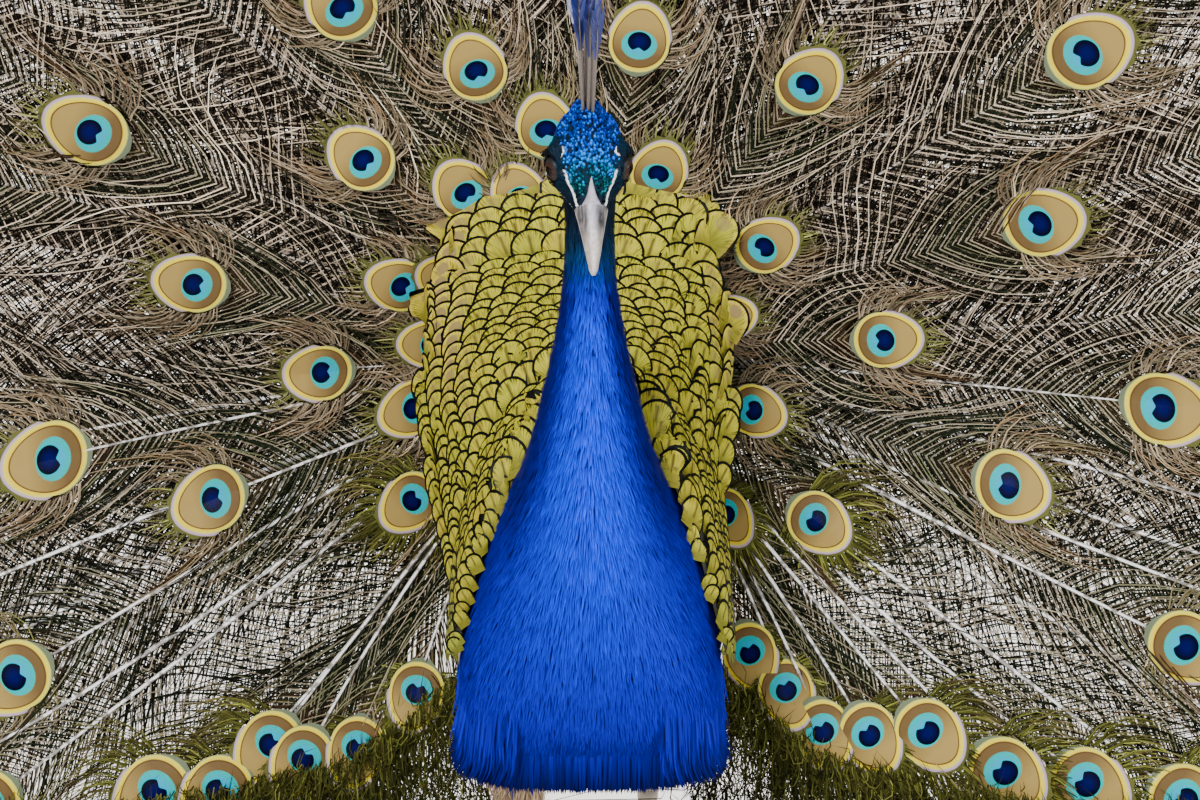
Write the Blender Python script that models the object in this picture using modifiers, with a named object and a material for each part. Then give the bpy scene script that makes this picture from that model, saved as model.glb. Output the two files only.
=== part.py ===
"""A displaying Indian peacock at life size: closed solids for each named part of the bird.

The bird faces -Y with its train raised and fanned. Z is up and the soles rest on z = 0.
Sizes are written in millimetres and turned into metres by MM. The origin is the middle of the
base of the whole bird's box.
"""

import math

import bmesh
import bpy
import numpy as np
from mathutils import Matrix, Vector

MM = 0.001
GAP = 0.25  # each side of a cut between two parts, in millimetres
CUTTER_MARGIN = 0.4  # how much larger a cutter is than the part that it stands for

# The trunk and neck, from the tail root to the top of the neck. A row is a cross-section: where it
# meets the back line and the belly line (y, z), its half width, how far down it is widest, and how
# square it is above and below there (2 is an ellipse).
BODY_STATIONS = (
    # back y, z   belly y, z   half width   widest   squareness above, below
    (236, 442, 228, 352, 30, 0.50, 2.0, 2.0),
    (196, 458, 182, 318, 50, 0.52, 2.1, 2.1),
    (146, 456, 122, 280, 60, 0.58, 2.2, 2.4),
    (98, 450, 62, 254, 64, 0.62, 2.2, 2.8),
    (64, 448, 6, 248, 68, 0.66, 2.2, 3.2),
    (44, 449, -44, 262, 71, 0.73, 2.1, 3.4),
    (31, 452, -80, 292, 68, 0.76, 1.8, 3.0),
    (23, 457, -97, 334, 54, 0.68, 1.8, 2.4),
    (17, 465, -99, 374, 41, 0.58, 1.9, 2.2),
    (12, 477, -93, 412, 33, 0.52, 2.0, 2.0),
    (6, 494, -83, 449, 26.5, 0.50, 2.0, 2.0),
    (0, 517, -73, 488, 20, 0.50, 2.0, 2.0),
    (-8, 546, -66, 528, 14.5, 0.50, 2.0, 2.0),
    (-16, 574, -63, 560, 13.2, 0.50, 2.0, 2.0),
    (-26, 600, -66, 582, 13.5, 0.50, 2.0, 2.0),
    (-40, 620, -70, 596, 12.5, 0.50, 2.0, 2.0),
)
BODY_PARTS = {  # part: first and last station
    "rump": (0, 2),
    "belly": (2, 5),
    "breast": (5, 8),
    "neck_lower": (8, 11),
    "neck_upper": (11, 15),
}
BODY_RING_POINTS = 22
STEPS_PER_STATION = 2

# The head is drawn level, with its eyes at 0 and the bill along its own -Y, and then bowed.
EYE_PLACE = (0, -75, 608)
HEAD_BOW = 40  # degrees below level
HEAD_TURN = 4  # degrees to the bird's left
HEAD_STATIONS = (
    # forward   middle up   half height   half width
    (-36.0, -1.0, 3.5, 4.0),
    (-34.0, -1.0, 9.0, 9.0),
    (-27.0, -1.0, 15.5, 15.5),
    (-16.0, -1.0, 18.5, 19.0),
    (-5.0, -1.5, 18.5, 20.5),
    (4.0, -2.5, 16.5, 18.0),
    (11.0, -4.0, 13.0, 13.5),
    (17.0, -5.5, 10.0, 9.6),
    (21.0, -6.5, 8.2, 7.8),
)
EYE_RADIUS = 6.3
EYE_OUT = 14.6
BILL_STATIONS = (
    # forward   mouth line   height above   depth below   half width
    (21.3, -7.2, 7.2, 5.6, 7.7),
    (26.9, -7.8, 6.8, 4.8, 6.6),
    (33.5, -8.8, 6.0, 3.8, 5.2),
    (40.6, -10.7, 4.8, 2.5, 3.8),
    (45.5, -12.7, 3.5, 1.4, 2.7),
    (49.8, -15.3, 1.7, 0.0, 1.3),
)
LOWER_BILL_STATIONS = 5
CREST_FEATHERS = 9
CREST_ROOT = (-24.0, 13.0)  # forward, up
CREST_HEIGHT = 62.0
CREST_LEAN = (-86, -22)  # degrees from the head's own up, backmost and foremost feather
CREST_SHAFT_WIDTH = 1.5
CREST_TIP_LENGTH = 19.0
CREST_THICKNESS = 3.0

# The raised train is one dish of feathers spread from its root behind the rump. Angles run from the
# bird's left (0) over the top (90), and
# the right half mirrors them.
TRAIN_ROOT = (0, 240, 405)
TRAIN_INNER = 64.0
TRAIN_REACH = 1150.0
TRAIN_LOW_EDGE = 275.0  # how far below its root the train hangs
TRAIN_LOW_BOW = 47.0  # how far the lowest feathers bow out round the wings
TRAIN_THICKNESS = 1.2
TRAIN_SECTORS = {"low": (-76, -30), "side": (-30, 10), "upper": (10, 50), "top": (50, 90)}
SECTOR_SCALLOPS = {"low": 6, "side": 6, "upper": 6, "top": 6}
SCALLOP_DEPTH = 0.045
TRAIN_ROWS = 3
TRAIN_ROOT_STATIONS = (
    # behind the root   bottom z   top z   half width
    (-2.5, 350, 444, 31),
    (4, 340, 455, 44),
    (14, 336, 458, 50),
    (28, 334, 452, 48),
    (44, 332, 436, 38),
    (56, 338, 412, 24),
    (61, 350, 394, 10),
)
TAIL_REACH = 405.0
TAIL_BEHIND = 11.0
TAIL_THICKNESS = 1.8
TAIL_ANGLES = (14, 166)
TAIL_SCALLOPS = 8

# The saddle of scale feathers over the back. In front it lies on the trunk: at a station of the
# body it reaches so far round from the back line, so far off the body. Behind, it rises on its own:
# its side edge and the ridge between them.
SADDLE_ON_BODY = (
    # station   degrees round   lift
    (7.3, 52, 1.8),
    (6.7, 72, 2.2),
    (6.0, 85, 2.6),
    (5.2, 86, 3.2),
    (4.5, 76, 3.8),
)
SADDLE_BEHIND = (
    # edge x, y, z      ridge y, z
    (76, 64, 378, 68, 460),
    (83, 106, 420, 110, 466),
    (85, 150, 455, 154, 478),
    (73, 190, 495, 188, 502),
    (45, 209, 522, 204, 524),
    (12, 212, 532, 208, 533),
)
SADDLE_SHIFT = -8  # how far the saddle lies to the bird's right of its middle
SADDLE_THICKNESS = 4.4
SADDLE_EDGE_THICKNESS = 1.6
SADDLE_POINTS = 11

WING_STATIONS = (
    # x, y, z of the middle   half height   half thickness
    (60.5, 2, 326, 7, 2.5),
    (62.5, 20, 329, 20, 5.5),
    (63.5, 58, 335, 36, 7.5),
    (63.0, 104, 337, 44, 7.0),
    (61.5, 142, 316, 36, 5.5),
    (58.0, 174, 288, 24, 4.0),
    (53.0, 204, 258, 15, 3.0),
    (47.0, 228, 230, 6, 2.0),
)
WING_COVERTS_END = 4
WING_SLOPE = 28  # degrees that the wing's long axis falls towards its tip

LEGS = {  # side: knee, ankle and sole
    "right": {"knee": (-37, 8, 262), "ankle": (-44, 34, 152), "sole": (-46, 16, 0)},
    "left": {"knee": (37, 56, 266), "ankle": (34, 142, 158), "sole": (32, 124, 0)},
}
SIDES = {"left": 1, "right": -1}
THIGH_RADII = (27, 23, 16, 9.5, 7.2)
SHANK_RADII = (6.6, 4.8, 4.5, 5.2, 6.0)
TOES = {  # toe: heading from straight ahead in degrees, length, radius at the root
    "inner": (-32, 46, 4.6),
    "middle": (0, 60, 5.0),
    "outer": (30, 50, 4.4),
    "hind": (172, 22, 3.8),
}
PALM_STATIONS = ((7.4, 0.0), (8.6, 2.0), (8.6, 5.5), (6.4, 9.1))  # radius, z
TOE_START = 9.0
CLAW_LENGTH = 12.0
SPUR_LENGTH = 17.0
SPUR_STATIONS = ((0, 3.4), (0.35, 2.5), (0.7, 1.5), (1, 0.5))  # part of the length, radius

COLOURS = {  # material: base colour, roughness, metallic
    "blue_plumage": ((0.01, 0.06, 0.62), 0.45, 0.2),
    "scale_plumage": ((0.36, 0.36, 0.05), 0.45, 0.3),
    "train_plumage": ((0.12, 0.12, 0.05), 0.6, 0.1),
    "tail_plumage": ((0.20, 0.14, 0.09), 0.7, 0.0),
    "wing_plumage": ((0.45, 0.33, 0.20), 0.7, 0.0),
    "thigh_plumage": ((0.55, 0.42, 0.27), 0.8, 0.0),
    "horn": ((0.52, 0.49, 0.47), 0.4, 0.0),
    "eye": ((0.03, 0.015, 0.01), 0.1, 0.0),
    "leg_skin": ((0.38, 0.31, 0.25), 0.6, 0.0),
}


def start_scene():
    """Clears the scene and makes one collection for the bird and one for its cutters."""
    for old in list(bpy.data.objects):
        bpy.data.objects.remove(old)
    made = {}
    for name in ("peacock", "cutters"):
        made[name] = bpy.data.collections.new(name)
        bpy.context.scene.collection.children.link(made[name])
    return made


COLLECTIONS = start_scene()


def material(name):
    """The named finish, made once and shared."""
    if name in bpy.data.materials:
        return bpy.data.materials[name]
    colour, roughness, metallic = COLOURS[name]
    made = bpy.data.materials.new(name)
    made.use_nodes = True
    shader = made.node_tree.nodes["Principled BSDF"]
    shader.inputs["Base Color"].default_value = (*colour, 1)
    shader.inputs["Roughness"].default_value = roughness
    shader.inputs["Metallic"].default_value = metallic
    return made


def add_object(name, mesh, finish, frame=None, sharp=50):
    """Links a mesh as a smooth-shaded part of the bird, or as a cutter if it has no finish."""
    made = bpy.data.objects.new(name, mesh)
    COLLECTIONS["peacock" if finish else "cutters"].objects.link(made)
    if frame:
        made.parent = frame
    if finish:
        mesh.materials.append(material(finish))
        mesh.shade_smooth()
        mesh.set_sharp_from_angle(angle=math.radians(sharp))
    else:
        made.hide_render = True
        made.display_type = "WIRE"
    return made


def mesh_of(name, points, faces):
    """A closed mesh from points in millimetres, with its faces turned outwards."""
    mesh = bpy.data.meshes.new(name)
    mesh.from_pydata([Vector(p) * MM for p in points], [], faces)
    shape = bmesh.new()
    shape.from_mesh(mesh)
    bmesh.ops.recalc_face_normals(shape, faces=shape.faces)
    shape.to_mesh(mesh)
    shape.free()
    return mesh


def loft(name, rings):
    """A closed mesh through rings of equally many points, capped flat at both ends."""
    count = len(rings[0])
    points = [p for ring in rings for p in ring]
    faces = [tuple(range(count)), tuple(range(len(points) - count, len(points)))]
    for start in range(0, len(points) - count, count):
        for i in range(count):
            j = (i + 1) % count
            faces.append((start + i, start + j, start + count + j, start + count + i))
    return mesh_of(name, points, faces)


def smooth_rows(rows, steps):
    """Rows of numbers with smooth in-between rows added (a Catmull-Rom curve through each column)."""
    rows = np.array(rows, float)
    padded = np.vstack([2 * rows[0] - rows[1], rows, 2 * rows[-1] - rows[-2]])
    found = []
    for i in range(len(rows) - 1):
        a, b, c, d = padded[i : i + 4]
        for step in range(steps):
            t = step / steps
            found.append(
                0.5 * (2 * b + (c - a) * t + (2 * a - 5 * b + 4 * c - d) * t**2
                       + (3 * b - a - 3 * c + d) * t**3)
            )
    found.append(rows[-1])
    return np.array(found)


def power(value, exponent):
    """value to a power, keeping its sign."""
    return math.copysign(abs(value) ** exponent, value)


def body_ring(row, grow=0.0, shift=0.0, turns=None):
    """The cross-section of one body station, grown outwards and moved along the body's own line.

    It runs round from the belly line, or through the given turns from the back line.
    """
    back, belly = np.array((0, row[0], row[1])), np.array((0, row[2], row[3]))
    half_width, widest, above, below = row[4:]
    depth = np.linalg.norm(belly - back)
    down = (belly - back) / depth
    along = np.cross((1, 0, 0), down)
    if turns is None:
        turns = [2 * math.pi * i / BODY_RING_POINTS - math.pi for i in range(BODY_RING_POINTS)]
    ring = []
    for turn in turns:
        squareness = above if math.cos(turn) > 0 else below
        fall = -power(math.cos(turn), 2 / squareness)
        reach = (1 - widest if fall > 0 else widest) * depth + grow
        side = power(math.sin(turn), 2 / squareness) * (half_width + grow)
        ring.append(back + down * (widest * depth + fall * reach) + (side, 0, 0) + along * shift)
    return ring


BODY_ROWS = smooth_rows(BODY_STATIONS, STEPS_PER_STATION)


def make_trunk_and_neck():
    """The rump, belly, breast and neck: one smooth body, parted by thin flat cuts."""
    for name, (first, last) in BODY_PARTS.items():
        rows = BODY_ROWS[first * STEPS_PER_STATION : last * STEPS_PER_STATION + 1]
        rings = [body_ring(row) for row in rows]
        rings[0] = body_ring(rows[0], shift=-GAP)
        rings[-1] = body_ring(rows[-1], shift=GAP)
        add_object(name, loft(name, rings), "blue_plumage")


def make_body_cutter():
    """The whole trunk and neck, a little larger, which trims what lies against it."""
    rings = [body_ring(row, grow=CUTTER_MARGIN) for row in BODY_ROWS]
    return add_object("body_cutter", loft("body_cutter", rings), None)


def cut(target, *cutters):
    """Takes the cutters out of a part."""
    for cutter in cutters:
        trim = target.modifiers.new(f"clear_{cutter.name}", "BOOLEAN")
        trim.operation = "DIFFERENCE"
        trim.solver = "EXACT"
        trim.object = cutter


def head_frame():
    """An empty between the eyes: its -Y runs along the bill and its +Z out of the crown."""
    frame = bpy.data.objects.new("head_frame", None)
    COLLECTIONS["peacock"].objects.link(frame)
    frame.location = Vector(EYE_PLACE) * MM
    frame.rotation_euler = (math.radians(HEAD_BOW), 0, math.radians(HEAD_TURN))
    return frame


def oval(forward, middle, half_height, half_width, count=18, squareness=2.15):
    """An upright ring of the head, facing along the bill."""
    ring = []
    for i in range(count):
        angle = 2 * math.pi * i / count
        x = half_width * power(math.sin(angle), 2 / squareness)
        z = middle + half_height * power(math.cos(angle), 2 / squareness)
        ring.append((x, -forward, z))
    return ring


def make_head(frame):
    """The head without its bill, with a socket for each eye, and the cutter that shapes the neck's top."""
    rows = smooth_rows(HEAD_STATIONS, 2)
    head = add_object("head", loft("head", [oval(*row) for row in rows]), "blue_plumage", frame)
    grown = [oval(row[0], row[1], row[2] + CUTTER_MARGIN, row[3] + CUTTER_MARGIN) for row in rows]
    back, front = -HEAD_STATIONS[0][0], -HEAD_STATIONS[-1][0]
    grown[0] = [(x, back + CUTTER_MARGIN, z) for x, _, z in grown[0]]
    grown[-1] = [(x, front - CUTTER_MARGIN, z) for x, _, z in grown[-1]]
    head_cutter = add_object("head_cutter", loft("head_cutter", grown), None, frame)
    for side, sign in SIDES.items():
        eye_mesh = eyeball(f"eye_{side}", sign, EYE_RADIUS)
        add_object(f"eye_{side}", eye_mesh, "eye", frame)
        socket = eyeball(f"socket_{side}", sign, EYE_RADIUS + GAP)
        cut(head, add_object(f"socket_{side}", socket, None, frame))
    return head_cutter


def eyeball(name, sign, radius):
    """A ball at one side of the head."""
    shape = bmesh.new()
    place = Matrix.Translation(Vector((sign * EYE_OUT, 0, 0)) * MM) @ Matrix.Rotation(math.pi / 2, 4, "Y")
    bmesh.ops.create_uvsphere(shape, u_segments=11, v_segments=7, radius=radius * MM, matrix=place)
    mesh = bpy.data.meshes.new(name)
    shape.to_mesh(mesh)
    shape.free()
    return mesh


def half_oval(forward, base, height, half_width, count=8):
    """A ring of one half of the bill: flat along the mouth line and round away from it."""
    ring = []
    for i in range(count + 1):
        angle = math.pi * i / count
        ring.append((half_width * math.cos(angle), -forward, base + height * math.sin(angle) ** 0.9))
    return ring


def make_bill(frame):
    """The two halves of the closed bill, which meet along the mouth line."""
    rows = smooth_rows(BILL_STATIONS, 1)
    upper = [half_oval(f, mouth + GAP, above, half) for f, mouth, above, _, half in rows]
    add_object("bill_upper", loft("bill_upper", upper), "horn", frame, sharp=60)
    rows = smooth_rows(BILL_STATIONS[:LOWER_BILL_STATIONS], 1)
    lower = [half_oval(f, mouth - GAP, -below, half * 0.94) for f, mouth, _, below, half in rows]
    add_object("bill_lower", loft("bill_lower", lower), "horn", frame, sharp=60)


def crest_outline():
    """The crest from the side as one comb: bare shafts on a common root, each with a blue paddle."""
    outline = []
    root = Vector(CREST_ROOT)
    for i in range(CREST_FEATHERS):
        lean = math.radians(CREST_LEAN[0] + (CREST_LEAN[1] - CREST_LEAN[0]) * i / (CREST_FEATHERS - 1))
        along = Vector((math.sin(lean), math.cos(lean)))
        across = Vector((along.y, -along.x))
        start = root + across * (i - (CREST_FEATHERS - 1) / 2) * 0.9
        half, tip = CREST_SHAFT_WIDTH / 2, CREST_HEIGHT
        paddle = tip - CREST_TIP_LENGTH
        for up, out in (
            (9, -half), (paddle, -half), (paddle + 8, -3.2), (tip - 3, -2.4), (tip, 0),
            (tip - 3, 2.4), (paddle + 8, 3.2), (paddle, half), (9, half),
        ):
            outline.append(start + along * up + across * out)
    outline.append(root + Vector((4.5, 0)))
    outline.append(root - Vector((4.5, 0)))
    return outline


def make_crest(frame, head_cutter):
    """The fan of crest feathers, which stands in the bird's middle plane."""
    curve = bpy.data.curves.new("crest_outline", "CURVE")
    curve.dimensions = "2D"
    curve.fill_mode = "BOTH"
    curve.extrude = CREST_THICKNESS / 2 * MM
    points = crest_outline()
    spline = curve.splines.new("POLY")
    spline.points.add(len(points) - 1)
    for place, point in zip(spline.points, points):
        place.co = (point.x * MM, point.y * MM, 0, 1)
    spline.use_cyclic_u = True
    flat = bpy.data.objects.new("crest_flat", curve)
    bpy.context.scene.collection.objects.link(flat)
    bpy.context.view_layer.update()
    mesh = bpy.data.meshes.new_from_object(flat.evaluated_get(bpy.context.evaluated_depsgraph_get()))
    bpy.data.objects.remove(flat)
    shape = bmesh.new()
    shape.from_mesh(mesh)
    bmesh.ops.remove_doubles(shape, verts=shape.verts, dist=0.01 * MM)
    # The outline's x runs along the bill (-Y) and its y up the head (+Z).
    shape.transform(Matrix(((0, 0, 1, 0), (-1, 0, 0, 0), (0, 1, 0, 0), (0, 0, 0, 1))))
    bmesh.ops.recalc_face_normals(shape, faces=shape.faces)
    shape.to_mesh(mesh)
    shape.free()
    cut(add_object("crest", mesh, "blue_plumage", frame, sharp=30), head_cutter)


def train_reach(angle):
    """How far the train's feathers reach from its root at an angle in radians."""
    fall = max(-math.sin(angle), 1e-3)
    low = TRAIN_LOW_EDGE / fall
    return (TRAIN_REACH**-6 + low**-6) ** (-1 / 6)


def train_point(reach, angle, behind=0.0):
    """A point on the raised train, which leans forward at its top and sides.

    The lowest feathers bow out round the wings and sweep forward.
    """
    r = reach / 1000
    side, low = math.cos(angle) ** 2, max(-math.sin(angle), 0.0)
    lean = (0.10 + 0.07 * side) * r + (0.10 - 0.04 * side) * r * r
    sweep = 0.21 * low * (r / 0.2) ** 2 / (1 + (r / 0.2) ** 2)
    sag = 0.06 * side * r * r
    lowest = min(max((low - 0.70) / 0.27, 0.0), 1.0)
    bow = TRAIN_LOW_BOW * lowest * math.sin(math.pi * min(r / 0.32, 1.0)) ** 0.8
    x, y, z = TRAIN_ROOT
    return np.array((
        x + reach * math.cos(angle) + bow,
        y - 1000 * (lean + sweep) + behind,
        z + reach * math.sin(angle) - 1000 * sag,
    ))


def sheet(name, grid, thickness, finish, thin_edge=1.0):
    """An open surface through a grid of points, made solid with half its thickness on each side.

    thin_edge is the share of the thickness that is left at the first and last column.
    """
    rows, columns = np.shape(grid)[:2]
    faces = []
    for i in range(rows - 1):
        for j in range(columns - 1):
            a = i * columns + j
            faces.append((a, a + 1, a + columns))
            faces.append((a + 1, a + columns + 1, a + columns))
    made = add_object(name, mesh_of(name, np.reshape(grid, (-1, 3)), faces), finish)
    middle = made.vertex_groups.new(name="middle")
    for index in range(rows * columns):
        across = 2 * (index % columns) / (columns - 1) - 1
        middle.add([index], 1 - across**4, "REPLACE")
    solid = made.modifiers.new("thickness", "SOLIDIFY")
    solid.thickness = thickness * MM
    solid.offset = 0
    if thin_edge < 1:
        solid.vertex_group = middle.name
        solid.thickness_vertex_group = thin_edge
    return made


def fan_grid(angles, scallops, reach_of, rows, behind=0.0):
    """Points on the dish between two angles, less a gap at each side, with a feather-tipped rim."""
    first, last = (math.radians(a) for a in angles)
    columns = scallops * 3
    grid = []
    for i in range(columns + 1):
        angle = first + (last - first) * i / columns
        inset = (i == 0) - (i == columns)
        rim = reach_of(angle) * (1 - (SCALLOP_DEPTH if i % 3 == 0 else 0.0))
        reaches = [TRAIN_INNER + (rim - TRAIN_INNER) * j / rows for j in range(rows + 1)]
        grid.append([train_point(reach, angle + inset * GAP / reach, behind) for reach in reaches])
    return np.array(grid)


def make_train():
    """The train's dish in sectors on both sides, and the stiff tail that props it from behind."""
    for sector, angles in TRAIN_SECTORS.items():
        grid = fan_grid(angles, SECTOR_SCALLOPS[sector], train_reach, TRAIN_ROWS)
        for side, sign in SIDES.items():
            name = f"train_{side}_{sector}"
            sheet(name, grid * (sign, 1, 1), TRAIN_THICKNESS, "train_plumage")
    tail = fan_grid(TAIL_ANGLES, TAIL_SCALLOPS, lambda angle: TAIL_REACH, 2, TAIL_BEHIND)
    sheet("tail", tail, TAIL_THICKNESS, "tail_plumage")


def make_train_root():
    """The padded root behind the rump, from which train and tail spread, with the down under it."""
    x, y, _ = TRAIN_ROOT
    rings = []
    for behind, low, high, half in TRAIN_ROOT_STATIONS:
        middle, rise = (low + high) / 2, (high - low) / 2
        rings.append([(x + p[0], y + behind, p[2]) for p in oval(0, middle, rise, half)])
    add_object("train_root", loft("train_root", rings), "tail_plumage")


def make_saddle(body_cutter):
    """The saddle of scale-feathered plumage over the back, rising to the foot of the train."""
    spread = [2 * i / (SADDLE_POINTS - 1) - 1 for i in range(SADDLE_POINTS)]
    grid = []
    for station, round_, lift in SADDLE_ON_BODY:
        before = int(station * STEPS_PER_STATION)
        part = station * STEPS_PER_STATION - before
        row = BODY_ROWS[before] * (1 - part) + BODY_ROWS[before + 1] * part
        grid.append(body_ring(row, lift, turns=[math.radians(round_) * across for across in spread]))
    for edge_x, edge_y, edge_z, ridge_y, ridge_z in SADDLE_BEHIND:
        line = []
        for across in spread:
            fall = (1 - math.sqrt(1 - 0.985 * across * across)) / (1 - math.sqrt(0.015))
            y = ridge_y + (edge_y - ridge_y) * abs(across) ** 1.5
            z = ridge_z + (edge_z - ridge_z) * fall
            line.append((edge_x * across + SADDLE_SHIFT * edge_x / 85, y, z))
        grid.append(line)
    thin_edge = SADDLE_EDGE_THICKNESS / SADDLE_THICKNESS
    cut(sheet("back_saddle", grid, SADDLE_THICKNESS, "scale_plumage", thin_edge), body_cutter)


def make_wings(body_cutter):
    """The folded wings: a padded plate of coverts and the flight feathers that run on behind it."""
    rows = smooth_rows(WING_STATIONS, 2)
    slope = math.radians(WING_SLOPE)
    upright = np.array((0, math.sin(slope), math.cos(slope)))
    split = WING_COVERTS_END * 2
    parts = {"coverts": (rows[: split + 1], -GAP), "flight": (rows[split:], GAP)}
    for part, (stations, gap) in parts.items():
        rings = []
        for index, (x, y, z, half_height, half_thick) in enumerate(stations):
            at_cut = index == (len(stations) - 1 if gap < 0 else 0)
            middle = np.array((x, y + (gap if at_cut else 0), z))
            rings.append(np.array([
                middle + (half_thick * math.cos(a), 0, 0) + upright * half_height * math.sin(a)
                for a in (2 * math.pi * i / 12 for i in range(12))
            ]))
        for side, sign in SIDES.items():
            node = f"wing_{side}_{part}"
            mesh = loft(node, [ring * (sign, 1, 1) for ring in rings])
            cut(add_object(node, mesh, "wing_plumage"), body_cutter)


def tube_rings(start, end, radii, count):
    """Level rings of a limb between two points, with its radii in turn."""
    start, end = np.array(start, float), np.array(end, float)
    rings = []
    for index, radius in enumerate(radii):
        t = index / (len(radii) - 1)
        middle = start + (end - start) * t
        rings.append([
            middle + radius * np.array((math.cos(a), math.sin(a), 0))
            for a in (2 * math.pi * i / count for i in range(count))
        ])
    return rings


def toe_rings(origin, heading, start, length, root_radius, tip_radius, grow=0.0, count=8):
    """Rings of a toe lying on the floor, its underside flat at z = 0."""
    ahead = np.array((math.sin(heading), -math.cos(heading), 0))
    side = np.array((math.cos(heading), math.sin(heading), 0))
    rings = []
    knuckles = 5
    for index in range(knuckles + 1):
        t = index / knuckles
        radius = root_radius + (tip_radius - root_radius) * t + grow
        swell = 1 + 0.10 * math.cos(4 * math.pi * t)
        middle = origin + ahead * (start + (length - start) * t)
        ring = []
        for i in range(count):
            angle = 2 * math.pi * i / count
            height = radius * 0.78 + radius * swell * math.sin(angle)
            ring.append(middle + side * radius * swell * math.cos(angle) + (0, 0, max(height, -grow)))
        rings.append(ring)
    return rings


def claw_rings(origin, heading, start, radius, count=6):
    """Rings of a claw that runs on from its toe and curves down to the floor."""
    ahead = np.array((math.sin(heading), -math.cos(heading), 0))
    side = np.array((math.cos(heading), math.sin(heading), 0))
    rings = []
    steps = 3
    for index in range(steps + 1):
        t = index / steps
        thick = radius * (1 - 0.82 * t)
        middle = origin + ahead * (start + CLAW_LENGTH * t)
        rise = radius * 0.9 + 1.4 * math.sin(math.pi * t) * radius * 0.4 - radius * 0.62 * t * t
        rings.append([
            middle + side * thick * math.cos(a) + (0, 0, max(rise + thick * math.sin(a), 0.15))
            for a in (2 * math.pi * i / count for i in range(count))
        ])
    return rings


def make_leg(side, joints, body_cutter):
    """One leg: feathered thigh, scaly shank with its spur, four toes and their claws."""
    knee, ankle, sole = (np.array(joints[k], float) for k in ("knee", "ankle", "sole"))
    thigh = loft(f"thigh_{side}", tube_rings(knee + (0, 0, 14), ankle + (0, 0, 5), THIGH_RADII, 14))
    cut(add_object(f"thigh_{side}", thigh, "thigh_plumage"), body_cutter)
    top = ankle + (0, 0, 5 - 2 * GAP)
    foot_top = sole + (0, 0, PALM_STATIONS[-1][1] + 2 * GAP)
    shank = loft(f"shank_{side}", tube_rings(top, foot_top, SHANK_RADII, 12))
    add_object(f"shank_{side}", shank, "leg_skin")
    grown = [radius + CUTTER_MARGIN for radius in SHANK_RADII]
    cutter = loft(f"shank_cutter_{side}", tube_rings(top, foot_top, grown, 12))
    make_spur(side, top + (foot_top - top) * 0.72, add_object(f"shank_cutter_{side}", cutter, None))
    make_foot(side, sole)


def make_foot(side, sole):
    """The palm under the shank, with the toes and claws that spread from it."""
    palm = [
        [sole + np.array((r * math.cos(a), r * math.sin(a), z)) for a in
         (2 * math.pi * i / 14 for i in range(14))]
        for r, z in PALM_STATIONS
    ]
    add_object(f"palm_{side}", loft(f"palm_{side}", palm), "leg_skin")
    _, length, radius = TOES["middle"]
    middle = toe_rings(sole, 0.0, TOE_START - 0.3, length, radius, radius * 0.62, CUTTER_MARGIN)
    beside = add_object(f"toe_cutter_{side}", loft(f"toe_cutter_{side}", middle), None)
    for toe, (heading, length, radius) in TOES.items():
        heading = math.radians(heading) * -SIDES[side]
        node = f"toe_{side}_{toe}"
        rings = toe_rings(sole, heading, TOE_START, length, radius, radius * 0.62)
        made = add_object(node, loft(node, rings), "leg_skin")
        if toe in ("inner", "outer"):
            cut(made, beside)
        node = f"claw_{side}_{toe}"
        rings = claw_rings(sole, heading, length + GAP, radius * 0.56)
        add_object(node, loft(node, rings), "horn")


def make_spur(side, place, shank_cutter):
    """The spur on the inner rear of the shank."""
    across = np.array((-SIDES[side] * 0.45, 0.86, 0.22))
    across /= np.linalg.norm(across)
    u = np.cross(across, (0, 0, 1))
    u /= np.linalg.norm(u)
    v = np.cross(across, u)
    rings = []
    for t, radius in SPUR_STATIONS:
        middle = place + across * (3.0 + SPUR_LENGTH * t) + np.array((0, 0, 3.0 * t * t))
        rings.append([
            middle + radius * (u * math.cos(a) + v * math.sin(a))
            for a in (2 * math.pi * i / 8 for i in range(8))
        ])
    cut(add_object(f"spur_{side}", loft(f"spur_{side}", rings), "horn"), shank_cutter)


def centre_on_floor():
    """Moves the bird front to back, so that the origin is the middle of its box."""
    bpy.context.view_layer.update()
    graph = bpy.context.evaluated_depsgraph_get()
    depths = []
    for part in COLLECTIONS["peacock"].objects:
        if part.type == "MESH":
            shown = part.evaluated_get(graph)
            depths += [(shown.matrix_world @ vertex.co).y for vertex in shown.data.vertices]
    middle = (min(depths) + max(depths)) / 2
    for collection in COLLECTIONS.values():
        for part in collection.objects:
            if part.parent is None:
                part.location.y -= middle


make_trunk_and_neck()
body_cutter = make_body_cutter()
frame = head_frame()
head_cutter = make_head(frame)
cut(bpy.data.objects["neck_upper"], head_cutter)
make_bill(frame)
make_crest(frame, head_cutter)
make_train()
make_train_root()
make_saddle(body_cutter)
make_wings(body_cutter)
for leg_side, leg_joints in LEGS.items():
    make_leg(leg_side, leg_joints, body_cutter)
centre_on_floor()
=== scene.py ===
"""A displaying Indian peacock: the looks of every part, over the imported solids."""

import math

import bmesh
import bpy
import numpy as np
from mathutils import Euler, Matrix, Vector
from mathutils.bvhtree import BVHTree


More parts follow.
